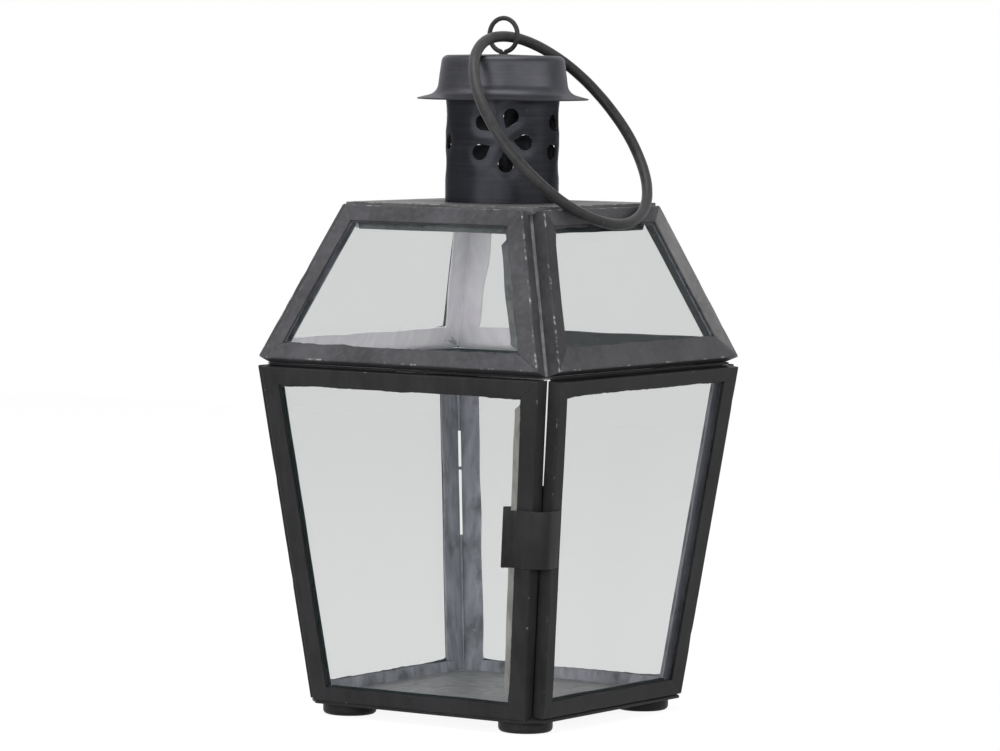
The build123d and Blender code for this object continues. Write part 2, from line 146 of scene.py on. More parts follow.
class LanternTopSizes(bpy.types.PropertyGroup):
    """Sizes of the chimney, the cap, the feet and the wire."""

    flower_count: number("Punched flowers round the chimney", 4)
    flower_turn: turn("First flower, from the front towards the door", 26.0)
    flower_rise: length("Flower centre above the top plate", 23.4)
    petal_count: number("Petals of a flower", 5)
    petal_ring: length("Flower centre to petal centre", 9.3)
    petal_turn: turn("First petal, clockwise from straight up", 24.0)
    front_aside: turn("How far the front flower sits towards the door", 6.4)
    back_aside: turn("How far the back flower sits towards the left", 9.6)
    back_drop: length("How much lower the back flower sits", 0.9)
    back_turn: turn("How much further the back flower's petals are turned", -12.0)
    petal_width: length("Width of a petal", 5.8)
    petal_length: length("Length of a petal", 7.7)
    dimple: length("How far the punch pushed the sheet in round a petal", 0.3)
    crown_ease: length("Chimney to the outside of the crown at its top", 1.5)
    crown_flare: length("Top of the crown to its foot", 1.8)
    brim_fall: length("Foot of the crown to the edge of the brim", 1.9)
    crown_dome: length("Rise of the crown's flat top", 0.5)
    crown_edge: length("Radius round the top of the crown", 2.6)
    crown_foot: length("Radius at the foot of the crown", 4.5)
    cap_wobble: length("How far the spun cap is out of true", 0.25)
    foot_wall: length("Thickness of a pressed foot", 0.8)
    foot_edge: length("Radius at the bottom of a foot", 1.6)
    handle_wire: length("Diameter of the ring handle's wire", 4.0)
    eye_wire: length("Diameter of the hanger eye's wire", 1.75)
    eye_radius: length("Middle of the eye to the middle of its wire", 6.2)
    eye_leg_drop: length("How far the eye's legs go below the crown", 3.0)
    eye_leg_spread: length("How far the eye's legs spread under the crown", 7.0)


class LanternFinishes(bpy.types.PropertyGroup):
    """Colours of the paint, the bare metal and the glass. Some are lighter or darker copies of one paint that
    paint in light and shade.
    """

    body_paint: colour("Paint of the body and the door", (0.0165, 0.0165, 0.0175))
    # Painted light: the roof's paint is about three times lighter than the body's paint. The extra lightness
    # stands for the light and sheen that its upward-leaning faces catch.
    roof_paint: colour("Dusty paint of the roof", (0.053, 0.052, 0.0565))
    # Painted light: a much lighter copy of the roof's paint. It goes on the right roof stile above the door,
    # where more light falls, and inside the front roof panel's right stile and top rail, against the shade
    # there.
    dust: colour("Dusty paint of the roof's right stile above the door", (0.135, 0.134, 0.137))
    chimney_paint: colour("Paint of the chimney", (0.018, 0.0185, 0.0215))
    cap_paint: colour("Paint of the cap", (0.036, 0.0365, 0.0415))
    # Painted shade: a darker copy of the roof's paint, for the right roof panel's left stile beside the front
    # hip.
    shade_paint: colour("Cleaner paint beside the front hip", (0.033, 0.0325, 0.036))
    # Painted reflection: the top plate's paint is made lighter than the roof's paint to stand for the light
    # grazing off its flat top.
    plate_paint: colour("Dusty paint of the top plate", (0.085, 0.085, 0.086))
    wire_paint: colour("Paint of the ring and the eye", (0.028, 0.028, 0.029))
    foot_paint: colour("Paint of the feet", (0.013, 0.013, 0.014))
    bare_metal: colour("Metal where the paint is rubbed off", (0.27, 0.267, 0.262))
    inner_metal: colour("Thinly painted metal inside the body", (0.27, 0.268, 0.305))
    flange_metal: colour("Inner flange beside the clasp", (0.28, 0.27, 0.25))
    # Near white: the bare metal's own pale tone, with a painted highlight added for the light that falls
    # strongly inside the roof.
    roof_inner: colour("Bare metal inside the roof", (0.97, 0.92, 1.0))
    base_metal: colour("Floor inside the body", (0.24, 0.236, 0.236))
    solder: colour("Solder, painted over", (0.035, 0.035, 0.037))
    # Paler than the other solder: partly thinly painted solder, partly a painted highlight along the hip
    # grooves.
    hip_solder: colour("Thinly painted solder between the roof panels", (0.10, 0.10, 0.105))
    glass: colour("Film of dust on the panes", (0.03, 0.06, 0.06))
    floor: colour("Pale floor", (0.80, 0.80, 0.80))


class Graph:
    """Adds nodes to a tree and joins them."""

    def __init__(self, tree):
        self.tree = tree

    def node(self, kind, values=None, **settings):
        """A node with its settings, and with each named input set or linked."""
        made = self.tree.nodes.new(kind)
        for key, value in settings.items():
            setattr(made, key, value)
        for key, value in (values or {}).items():
            socket = made.inputs[key]
            if isinstance(value, bpy.types.NodeSocket):
                self.tree.links.new(value, socket)
            else:
                socket.default_value = value
        return made

    def out(self, kind, values=None, **settings):
        """The first output of a new node."""
        return self.node(kind, values, **settings).outputs[0]

    def math(self, operation, a, b=0.0):
        """The result of one sum."""
        return self.out("ShaderNodeMath", {0: a, 1: b}, operation=operation)

    def plus(self, *values):
        """Values added up."""
        return functools.reduce(lambda a, b: self.math("ADD", a, b), values)

    def times(self, *values):
        """Values multiplied."""
        return functools.reduce(lambda a, b: self.math("MULTIPLY", a, b), values)

    def vector(self, operation, values):
        """The result of one sum with vectors."""
        return self.out("ShaderNodeVectorMath", values, operation=operation)

    def apart(self, value):
        """The three parts of a vector."""
        return self.node("ShaderNodeSeparateXYZ", {0: value}).outputs

    def place(self):
        """Where a point of the geometry is."""
        return self.out("GeometryNodeInputPosition")

    def moved(self, geometry, offset):
        """A geometry with its points moved."""
        return self.out("GeometryNodeSetPosition", {"Geometry": geometry, "Offset": offset})

    def noise(self, vector, kind):
        """Even noise between 0 and 1, over a place."""
        scale, detail, rough = NOISES[kind]
        values = {"Vector": vector, "Scale": scale, "Detail": detail, "Roughness": rough}
        return self.out("ShaderNodeTexNoise", values)

    def between(self, value, low, high, to_low=0.0, to_high=1.0):
        """A value taken from one range to another, and held inside it."""
        return self.out("ShaderNodeMapRange", {0: value, 1: low, 2: high, 3: to_low, 4: to_high})

    def mixed(self, amount, a, b):
        """Two colours mixed."""
        return self.node("ShaderNodeMix", {0: amount, 6: a, 7: b}, data_type="RGBA").outputs[2]


def shade(value, factor):
    """A colour made lighter or darker, with its alpha."""
    return (*(min(1.0, x * factor) for x in value), 1.0)


def new_material(name):
    """An empty node material and its graph."""
    material = bpy.data.materials.new(name)
    material.use_nodes = True
    material.node_tree.nodes.clear()
    return material, Graph(material.node_tree)


def surface(graph, values):
    """The shader at the end of a material."""
    shader = graph.out("ShaderNodeBsdfPrincipled", values)
    graph.node("ShaderNodeOutputMaterial", {"Surface": shader})


def worn_paint(name, tone, bare, rub, stretch=EVEN, gloss=(0.38, 0.54), specular=0.1, cover=0.9, flecks=0.735,
               sheen_tint=EVEN, metal=0.0, relief=0.35):
    """Brushed-on paint that is rubbed through to the metal where the rub is high.

    rub is a number, or the name of the attribute that holds it. stretch draws the brush marks out."""
    material, g = new_material(name)
    place = g.node("ShaderNodeTexCoord").outputs["Object"]
    if isinstance(rub, str):
        rub = g.node("ShaderNodeAttribute", attribute_name=rub).outputs["Fac"]
    clouds = g.noise(place, "paint clouds")
    drawn = g.out("ShaderNodeMapping", {"Vector": place, "Scale": stretch})
    marks = g.noise(drawn, "brush marks")
    grain = g.noise(place, "paint grain")
    tones = g.mixed(g.between(clouds, 0.3, 0.7), shade(tone, 0.72), shade(tone, 1.3))
    tones = g.mixed(g.between(marks, 0.45, 0.75, 0.0, 0.5), tones, shade(tone, 1.7))
    breaks = g.times(g.noise(place, "paint breaks"), 0.6)
    worn = g.between(g.plus(g.times(rub, 0.55), breaks), cover - 0.03, cover + 0.03)
    chips = g.between(g.noise(place, "paint chips"), flecks, flecks + 0.03, 0.0, 0.75)
    bared = g.math("MAXIMUM", worn, chips)
    rough = g.between(marks, 0.3, 0.7, *gloss)
    height = g.plus(g.times(marks, 0.7), g.times(grain, 0.3))
    height = g.math("SUBTRACT", height, g.times(bared, 0.6))
    bump = g.out("ShaderNodeBump", {"Strength": relief, "Distance": 0.12 * MM, "Height": height})
    surface(g, {
        "Base Color": g.mixed(bared, tones, shade(bare, 1.0)),
        "Metallic": metal,
        "Roughness": rough,
        "Specular IOR Level": specular,
        "Specular Tint": shade(sheen_tint, 1.0),
        "Normal": bump,
    })
    return material


def bare_sheet(name, tone, stain, stained=0.6, stretch=(1.0, 1.0, 0.25), fade=None, metal=0.6, spread=0.4):
    """Thinly painted sheet with darker stains and faint drawn-out marks.

    fade holds the two places across the lantern between which it turns as dark as the stain, as painted
    shade."""
    material, g = new_material(name)
    place = g.node("ShaderNodeTexCoord").outputs["Object"]
    drawn = g.out("ShaderNodeMapping", {"Vector": place, "Scale": stretch})
    marks = g.noise(drawn, "sheet marks")
    clouds = g.noise(place, "sheet clouds")
    tones = g.mixed(g.between(marks, 0.3, 0.7), shade(tone, 1.0 - spread), shade(tone, 1.0 + spread))
    stains = g.between(clouds, stained - 0.08, stained + 0.08, 0.0, 0.85)
    flecks = g.between(g.noise(place, "sheet flecks"), 0.66, 0.70, 0.0, 0.6)
    tones = g.mixed(stains, tones, shade(stain, 1.0))
    if fade:
        across = g.apart(place)[0]
        tones = g.mixed(g.between(across, *fade), tones, shade(stain, 1.0))
    bump = g.out("ShaderNodeBump", {"Strength": 0.25, "Distance": 0.1 * MM, "Height": marks})
    surface(g, {
        "Base Color": g.mixed(flecks, tones, shade(tone, 1.9)),
        "Metallic": metal,
        "Roughness": g.between(clouds, 0.3, 0.7, 0.42, 0.62),
        "Normal": bump,
    })
    return material


def pane_glass(name, tint):
    """Thin clear glass with a faint grey tint and a few smears."""
    material, g = new_material(name)
    place = g.node("ShaderNodeTexCoord").outputs["Object"]
    smears = g.noise(place, "glass smears")
    surface(g, {
        "Base Color": g.mixed(g.between(smears, 0.35, 0.75), shade(tint, 0.9), shade(tint, 1.1)),
        "Roughness": 0.02,
        "Specular IOR Level": 0.5,
        "Alpha": 0.118,
    })
    return material


def finishes():
    """Every finish of the lantern, made once."""
    tones = bpy.context.scene.lantern_finishes
    made = {}

    def finish(name, maker, *args, **settings):
        full_name = "lantern_" + name
        made[name] = bpy.data.materials.get(full_name) or maker(full_name, *args, **settings)

    bare = tones.bare_metal
    along_z = (1.0, 1.0, 0.12)
    round_z = (0.06, 0.06, 3.2)
    finish("body_frame_paint", worn_paint, tones.body_paint, bare, "rub", along_z, cover=0.95)
    # Copies of the roof's paint made lighter or darker as painted light and shade: the roof's sheen, the lit
    # stile above the door, the shaded stile beside the front hip and the top plate's reflection.
    roof_paints = (("roof_frame_paint", tones.roof_paint), ("dusty_paint", tones.dust),
                   ("shade_paint", tones.shade_paint), ("plate_paint", tones.plate_paint))
    for name, tone in roof_paints:
        finish(name, worn_paint, tone, bare, "rub", cover=0.90, flecks=0.715)
    finish("worn_edge_paint", worn_paint, tones.body_paint, bare, 1.0, cover=0.91)
    finish("top_edge_paint", worn_paint, tones.roof_paint, bare, 1.0, cover=0.87)
    finish("chimney_paint", worn_paint, tones.chimney_paint, bare, "rub", round_z, (0.26, 0.38), 0.3, 0.89,
           sheen_tint=(0.3, 0.31, 0.36), metal=0.75, relief=0.12)
    finish("cap_paint", worn_paint, tones.cap_paint, bare, "rub", round_z, (0.30, 0.42), 0.3, 0.89,
           sheen_tint=(0.5, 0.5, 0.55), metal=0.5, relief=0.12)
    finish("wire_paint", worn_paint, tones.wire_paint, bare, 0.0, gloss=(0.28, 0.42), flecks=0.70)
    finish("foot_paint", worn_paint, tones.foot_paint, bare, 0.0, flecks=0.78)
    finish("inner_metal", bare_sheet, tones.inner_metal, tones.body_paint, metal=0.15)
    finish("flange_metal", bare_sheet, tones.flange_metal, tones.inner_metal, 0.68, metal=0.3)
    # Inside the back and left roof panels: the near-white tone is partly a painted highlight. The back
    # panel's inside turns dark towards the door side as painted shade.
    finish("roof_inner_metal", bare_sheet, tones.roof_inner, tones.roof_paint, 0.92, fade=(-0.03, -0.01),
           metal=0.45, spread=0.1)
    finish("base_sheet", bare_sheet, tones.base_metal, tones.inner_metal, 0.62, EVEN, metal=0.4)
    finish("solder", bare_sheet, tones.solder, tones.body_paint, 0.55, EVEN, metal=0.2)
    finish("hip_solder", bare_sheet, tones.hip_solder, tones.roof_paint, 0.55, EVEN, metal=0.2)
    finish("pane", pane_glass, tones.glass)
    return made


def new_object(name, data):
    """A new object in the scene."""
    made = bpy.data.objects.new(name, data)
    bpy.context.scene.collection.objects.link(made)
    return made


def add_piece(name, mesh, body, nodes=(), materials=()):
    """A finished piece that rides on a body, in place of frame nodes."""
    mesh.name = name
    for material in materials:
        mesh.materials.append(material)
    piece = new_object(name, mesh)
    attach(piece, body)
    if nodes:
        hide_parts(*nodes)
    return piece


def opened(mesh):
    """A copy of a mesh to work on."""
    work = bmesh.new()
    work.from_mesh(mesh)
    return work


def finished(work, mesh):
    """The mesh that takes over a piece of work, which ends."""
    work.to_mesh(mesh)
    work.free()
    return mesh


def smooth(mesh, degrees=SMOOTH_ANGLE):
    """Smooth shading that keeps the sharp edges."""
    mesh.shade_smooth()
    mesh.set_sharp_from_angle(angle=math.radians(degrees))
    return mesh


def faced_outwards(mesh, degrees=SMOOTH_ANGLE):
    """Turn every face of a closed mesh outwards, and shade it smooth."""
    work = opened(mesh)
    bmesh.ops.recalc_face_normals(work, faces=work.faces)
    if work.calc_volume(signed=True) < 0:
        bmesh.ops.reverse_faces(work, faces=work.faces)
    return smooth(finished(work, mesh), degrees)


def node_copy(node, bevel):
    """A merged copy of a frame node with its sharp edges rounded. The rounded edges take material 1."""
    same_place, flat, sharp_fold = 1e-6, math.radians(0.5), math.radians(40.0)
    work = opened(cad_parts[node].data)
    bmesh.ops.remove_doubles(work, verts=work.verts, dist=same_place)
    bmesh.ops.dissolve_limit(work, angle_limit=flat, verts=work.verts, edges=work.edges)
    sharp = [edge for edge in work.edges if edge.calc_face_angle(0.0) > sharp_fold]
    bmesh.ops.bevel(work, geom=sharp, offset=bevel, segments=2, profile=0.5, affect="EDGES",
                    clamp_overlap=True, material=1)
    return smooth(finished(work, bpy.data.meshes.new(node)))


def copied_piece(node, name, body, bevel, paint="body_frame_paint",
                 edge="worn_edge_paint"):
    """A piece made from its own frame node, with its edges rounded."""
    paints = finishes()
    add_piece(name, node_copy(node, bevel), body, [node], [paints[paint], paints[edge]])


def cross_lines(point_a, dir_a, point_b, dir_b):
    """Point where two lines of one plane cross."""
    det = dir_a.x * dir_b.y - dir_a.y * dir_b.x
    gap = point_b - point_a
    return point_a + dir_a * ((gap.x * dir_b.y - gap.y * dir_b.x) / det)


def left_of(direction):
    """A direction turned a quarter to its left."""
    return Vector((-direction.y, direction.x)).normalized()


def inset(corners, widths):
    """Corners of a convex outline with each side moved inwards by its own width."""
    sides = []
    for i, width in enumerate(widths):
        direction = corners[(i + 1) % len(corners)] - corners[i]
        sides.append((corners[i] + left_of(direction) * width, direction))
    return [cross_lines(*sides[i - 1], *sides[i]) for i in range(len(corners))]


def wander(place, size, seed):
    """Smooth noise between -1 and 1 that wanders over a size."""
    return noise.noise(place / size + Vector((seed * 7.31, seed * 3.77, seed * 1.93)))


class GlazedPanel:
    """A leaning panel of four folded strips, read from its pane in the frame."""

    def __init__(self, prefix, side, depth, faces, back_faces, seam, ragged):
        sizes = bpy.context.scene.lantern_sheet
        self.sizes = sizes
        self.turn = Matrix.Rotation(math.radians(SIDE_TURNS[side]), 4, "Z")
        self.depth = depth
        self.faces = faces
        self.back_faces = back_faces
        self.seam = seam
        self.ragged = ragged
        self.splays = [0.0] * 4
        self.square_ends = side in ("back", "left")
        to_front = self.turn.inverted()
        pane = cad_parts[prefix + "_glass"].data
        points = {tuple(round(x, 6) for x in to_front @ vertex.co) for vertex in pane.vertices}
        heights = [p[2] for p in points]
        middle = (min(heights) + max(heights)) / 2

        def corner(right, high):
            same = [p for p in points if (p[0] > 0) == right and (p[2] > middle) == high]
            return Vector(min(same, key=lambda p: p[1]))

        corners = [corner(False, False), corner(True, False), corner(True, True), corner(False, True)]
        self.across = Vector((1.0, 0.0, 0.0))
        self.up = (corners[3] + corners[2] - corners[0] - corners[1]).normalized()
        self.outward = self.across.cross(self.up)
        self.origin = (corners[0] + corners[1]) / 2 + self.outward * sizes.pane_face_gap
        flat = [Vector(((c - self.origin).dot(self.across), (c - self.origin).dot(self.up))) for c in corners]
        self.outer = inset(flat, [-sizes.pane_edge_gap] * 4)
        self.inner = inset(self.outer, faces)

    def place(self, point, level):
        """A point of the panel's plane, at a level above its outer face, in the frame."""
        return self.turn @ (self.origin + self.across * point.x + self.up * point.y + self.outward * level)

    def normal(self):
        """The panel's outward direction in the frame."""
        return self.turn.to_3x3() @ self.outward

    def side(self, index):
        """Start, direction, inward direction, length and the two mitre slopes of one side."""
        start, end = self.outer[index], self.outer[(index + 1) % 4]
        direction = (end - start).normalized()
        first = (self.inner[index] - start).dot(direction) / self.faces[index]
        last = (end - self.inner[(index + 1) % 4]).dot(direction) / self.faces[index]
        return start, direction, left_of(direction), (end - start).length, first, last


def channel_section(face, back_face, depth, sizes, pale_lip):
    """Closed section of a folded channel: distance in, level, rub, and whether its face is an inner one.

    pale_lip says whether the side of the inner flange that lies on the glass is an inner face too."""
    sheet, radius = sizes.sheet, sizes.fold_radius
    chamfer = 0.2 * sheet
    easing = 0.5 * MM
    edge_rub, fold_rub, back_rub, lip_rub = 0.7, 1.0, 0.6, 0.4
    arc = [math.radians(a) for a in (90.0, 112.5, 135.0, 157.5, 180.0)]
    points = [
        (face, -sheet, 0.0, False),
        (face, -chamfer, edge_rub, False),
        (face - chamfer, 0.0, edge_rub, False),
        (face - chamfer - easing, 0.0, 0.0, False),
        (face / 2, 0.0, 0.0, False),
        (radius + easing, 0.0, 0.0, False),
    ]
    points += [(radius + radius * math.cos(a), -radius + radius * math.sin(a), fold_rub, False)
               for a in arc]
    points += [(0.0, -radius - easing, 0.0, False), (0.0, -depth + radius + easing, 0.0, False)]
    points += [(radius - radius * math.sin(a), -depth + radius + radius * math.cos(a), back_rub, i > 1)
               for i, a in enumerate(arc)]
    points += [
        (radius + easing, -depth, 0.0, True),
        (back_face / 2, -depth, 0.0, True),
        (back_face - chamfer, -depth, lip_rub, True),
        (back_face, -depth + chamfer, lip_rub, True),
        (back_face, -depth + sheet, 0.0, pale_lip),
        (sheet, -depth + sheet, 0.0, True),
        (sheet, -sheet, 0.0, True),
    ]
    return points


def strip_mesh(panel, index, seed):
    """One folded, mitred and slightly uneven strip of a panel."""
    sizes = panel.sizes
    face = panel.faces[index]
    section = channel_section(face, panel.back_faces[index], panel.depth, sizes, not panel.square_ends)
    start, direction, inward, span, first, last = panel.side(index)
    joint_gap, easing, row_gap = 0.03 * MM, 0.4 * MM, 3.2 * MM
    calm_reach, dent_half, dent_reach = 3.0 * MM, 2.4 * MM, 2.5 * MM
    long_wave, short_wave, edge_run = 0.042, 0.011, 0.019
    skin = 0.9 * sizes.sheet
    count = max(8, round(span / row_gap))
    steps = [0.0, easing] + [span * k / count for k in range(1, count)] + [span - easing, span]
    normal = panel.normal()
    inward_frame = panel.turn.to_3x3() @ (panel.across * inward.x + panel.up * inward.y)
    rolls = [wander(Vector((seed, k, 0.5)), 0.37, seed) for k in range(9)]
    dents = [(span * (0.5 + 0.62 * rolls[k]), sizes.dent * abs(rolls[k + 3]) * 1.6) for k in range(3)]
    vertices, rubs = [], []
    for row, step in enumerate(steps):
        drop = panel.seam if row in (0, len(steps) - 1) else 0.0
        calm = min(1.0, min(step, span - step) / calm_reach)
        for distance, level, rub, _ in section:
            on_face, on_fold = level > -skin, distance < skin
            cut = min(distance, face) if panel.square_ends else distance
            near = joint_gap + cut * first
            far = span - joint_gap - cut * last
            along = near + (far - near) * step / span
            lowered = level - (drop if on_face else 0.0)
            moved_in = distance + (drop if on_fold else 0.0)
            splayed = panel.splays[index] * (0.5 + 0.5 * step / span) * -level / panel.depth
            moved_in -= splayed * max(0.0, 1.0 - distance / panel.back_faces[index])
            spot = panel.place(start + direction * along + inward * moved_in, lowered)
            offset = sizes.wave * (wander(spot, long_wave, 3) + 0.25 * wander(spot, short_wave, 4))
            sideways = sizes.edge_wave * calm * wander(Vector((along, 0.0, 0.0)), edge_run, seed)
            sideways *= (distance / face) ** 2
            if on_face or on_fold:
                for middle, depth in dents:
                    bell = math.exp(-((along - middle) / dent_half) ** 2)
                    offset -= depth * bell * max(0.0, 1.0 - distance / dent_reach)
            vertices.append(spot + normal * offset + inward_frame * sideways)
            rubs.append(rub)
    ring = len(section)
    faces, inners = [], []
    for k in range(len(steps) - 1):
        for j in range(ring):
            a, b = k * ring + j, k * ring + (j + 1) % ring
            faces.append((a, b, b + ring, a + ring))
            inners.append(int(section[j][3]))
    faces += [tuple(range(ring)), tuple(range(ring * (len(steps) - 1), ring * len(steps)))]
    inners += [int(panel.square_ends)] * 2
    mesh = bpy.data.meshes.new("strip")
    mesh.from_pydata(vertices, [], faces)
    mesh.polygons.foreach_set("material_index", inners)
    mesh.attributes.new("rub", "FLOAT", "POINT").data.foreach_set("value", rubs)
    return faced_outwards(mesh)


def paint_line_mesh(panel, seed):
    """The ragged edge of paint on the glass round one pane."""
    sizes = panel.sizes
    glass_level = -sizes.pane_face_gap
    low, high = glass_level + 0.005 * MM, glass_level + 0.04 * MM
    tuck, least, step, corner_reach = 0.5 * MM, 0.02 * MM, 0.7 * MM, 5.0 * MM
    work = bmesh.new()
    for index in range(4):
        start, direction, inward, span, first, last = panel.side(index)
        face = panel.faces[index]
        near, far = face * first, span - face * last
        count = round((far - near) / step)
        rows = []
        for k in range(count + 1):
            along = near + (far - near) * k / count
            spot = Vector((along, index * 0.3, 0.0))
            ragged = 0.4 + 0.7 * wander(spot, 0.012, seed) + 0.45 * wander(spot, 0.0022, seed)
            corner = math.exp(-min(along - near, far - along) / corner_reach)
            ragged += corner * (1.0 + wander(spot, 0.004, seed + 5))
            reach = face + max(least, ragged * panel.ragged)
            profile = ((face - tuck, low), (reach, low), (reach, high), (face - tuck, high))
            rows.append([work.verts.new(panel.place(start + direction * along + inward * d, w))
                         for d, w in profile])
        for a, b in zip(rows, rows[1:]):
            for j in range(4):
                made = work.faces.new((a[j], a[(j + 1) % 4], b[(j + 1) % 4], b[j]))
                made.material_index = int(j == 0)
        work.faces.new(rows[0])
        work.faces.new(rows[-1])
    bmesh.ops.recalc_face_normals(work, faces=work.faces)
    return finished(work, bpy.data.meshes.new("paint_line"))


def all_panels():
    """Each panel with its node prefix, its body, its strip names and its finishes."""
    sizes = bpy.context.scene.lantern_sheet
    body_faces = [sizes.body_bottom, sizes.body_stile, sizes.body_top, sizes.body_stile]
    body_backs = [sizes.body_bottom, sizes.body_stile, sizes.body_top, sizes.body_left_back]
    roof_faces = [sizes.roof_bottom, sizes.roof_right, sizes.roof_top, sizes.roof_left]
    roof_backs = [sizes.roof_bottom, sizes.roof_back, sizes.roof_top_back, sizes.roof_back]
    door_faces = [sizes.door_bottom, sizes.door_hinge, sizes.door_top, sizes.door_free]
    faces = {
        "back": {RIGHT: sizes.body_far},
        "left": {LEFT: sizes.body_far},
        "roof_right": {BOTTOM: sizes.door_side_bottom, RIGHT: sizes.door_side_right},
        "roof_back": {RIGHT: sizes.roof_far},
        "roof_left": {LEFT: sizes.roof_far},
    }
    backs = {
        "front": {RIGHT: sizes.body_wide_back},
        "back": {RIGHT: sizes.body_far_back},
        "left": {LEFT: sizes.body_far_left},
        "roof_front": {RIGHT: sizes.roof_wide_back},
        "roof_right": {RIGHT: sizes.door_side_back},
        "roof_back": {BOTTOM: sizes.roof_shelf, RIGHT: sizes.roof_far_back},
        "roof_left": {BOTTOM: sizes.roof_shelf, LEFT: sizes.roof_far_left},
    }

    def widths(usual, name, own):
        return [own.get(name, {}).get(index, width) for index, width in enumerate(usual)]

    dark, pale = "body_frame_paint", "inner_metal"
    insides = {
        "front": [dark, "flange_metal", dark, dark],
        "back": [pale] * 4,
        "left": [pale] * 4,
        "door": [dark, pale, dark, dark],
        # The front roof panel's right stile and top rail are lightened inside as painted light against the
        # shade within the roof.
        "roof_front": ["roof_frame_paint", "dusty_paint", "dusty_paint", pale],
        "roof_right": ["roof_frame_paint", pale, "roof_frame_paint", "roof_frame_paint"],
        "roof_back": ["roof_inner_metal"] * 4,
        "roof_left": ["roof_inner_metal"] * 4,
    }
    kinds = {
        "body": (sizes.body_depth, body_faces, body_backs, sizes.body_seam, sizes.body_ragged),
        "door": (sizes.body_depth, door_faces, door_faces, sizes.body_seam, sizes.body_ragged),
        "roof": (sizes.roof_depth, roof_faces, roof_backs, sizes.roof_seam, sizes.roof_ragged),
    }
    panels = [(side, side, "body") for side in ("front", "back", "left")] + [("door", "right", "door")]
    panels += [("roof_" + side, side, "roof") for side in SIDE_TURNS]
    rows = []
    for name, side, kind in panels:
        depth, usual_faces, usual_backs, seam, ragged = kinds[kind]
        panel = GlazedPanel(name, side, depth, widths(usual_faces, name, faces),
                            widths(usual_backs, name, backs), seam, ragged)
        if name == "front":
            panel.splays[RIGHT] = sizes.splay
        body, strips = ("door", DOOR_STRIPS) if kind == "door" else ("lantern", FIXED_STRIPS)
        paint = "roof_frame_paint" if kind == "roof" else "body_frame_paint"
        rows.append((name, panel, body, strips, paint, insides[name]))
    return rows


def edge_mesh(points, closed=False):
    """A mesh of edges only, which a node tree takes as its path."""
    mesh = bpy.data.meshes.new("path")
    count = len(points)
    edges = [(i, (i + 1) % count) for i in range(count if closed else count - 1)]
    mesh.from_pydata(points, edges, [])
    return mesh


def geometry_tree(name, measures, counts=()):
    """An empty node tree with named inputs, its graph and the outputs of its input node."""
    tree = bpy.data.node_groups.new(name, "GeometryNodeTree")
    kinds = {"Geometry": "Geometry", **dict.fromkeys(measures, "Float"), **dict.fromkeys(counts, "Int"),
             "Material": "Material"}
    for label, kind in kinds.items():
        tree.interface.new_socket(label, in_out="INPUT", socket_type="NodeSocket" + kind)
    tree.interface.new_socket("Geometry", in_out="OUTPUT", socket_type="NodeSocketGeometry")
    graph = Graph(tree)
    return tree, graph, graph.node("NodeGroupInput").outputs


def close_tree(graph, geometry, material):
    """The end of a node tree: real meshes with their material."""
    real = graph.out("GeometryNodeRealizeInstances", {0: geometry})
    painted = graph.out("GeometryNodeSetMaterial", {0: real, "Material": material})
    graph.node("NodeGroupOutput", {0: painted})


def grown(tree, source, values):
    """The plain mesh that a node tree makes from a source mesh."""
    maker = new_object("maker", source)
    modifier = maker.modifiers.new("maker", "NODES")
    modifier.node_group = tree
    for item in tree.interface.items_tree:
        if item.in_out == "INPUT" and item.name in values:
            modifier[item.identifier] = values[item.name]
    graph = bpy.context.evaluated_depsgraph_get()
    graph.update()
    mesh = bpy.data.meshes.new_from_object(maker.evaluated_get(graph))
    maker.modifiers.remove(modifier)
    bpy.data.objects.remove(maker)
    bpy.data.meshes.remove(source)
    return mesh


def noise_offset(graph, size, amount, seed):
    """An offset that wanders over the surface by up to an amount."""
    values = {"Vector": graph.place(), "W": seed, "Scale": graph.math("DIVIDE", 1.0, size), "Detail": 2.0}
    texture = graph.node("ShaderNodeTexNoise", values, noise_dimensions="4D")
    centred = graph.vector("SUBTRACT", {0: texture.outputs[1], 1: (0.5, 0.5, 0.5)})
    return graph.vector("SCALE", {0: centred, 3: graph.times(amount, 2.0)})


def run_tree():
    """Round stock that follows a path: wire, or a lumpy bead of solder."""
    measures = ("Radius", "Step", "Sway", "Lump", "Lump size", "Seed")
    tree, g, given = geometry_tree("lantern_run_along_path", measures, ["Sides"])
    path = g.out("GeometryNodeMeshToCurve", {0: given["Geometry"]})
    stepped = {"Curve": path, "Length": given["Step"]}
    path = g.out("GeometryNodeResampleCurve", stepped, mode="LENGTH")
    sway = noise_offset(g, given["Lump size"], given["Sway"], given["Seed"])
    section = g.out("GeometryNodeCurvePrimitiveCircle",
                    {"Resolution": given["Sides"], "Radius": given["Radius"]})
    run = g.out("GeometryNodeCurveToMesh",
                {"Curve": g.moved(path, sway), "Profile Curve": section, "Fill Caps": True})
    lumps = noise_offset(g, given["Lump size"], given["Lump"], given["Seed"])
    close_tree(g, g.moved(run, lumps), given["Material"])
    return tree


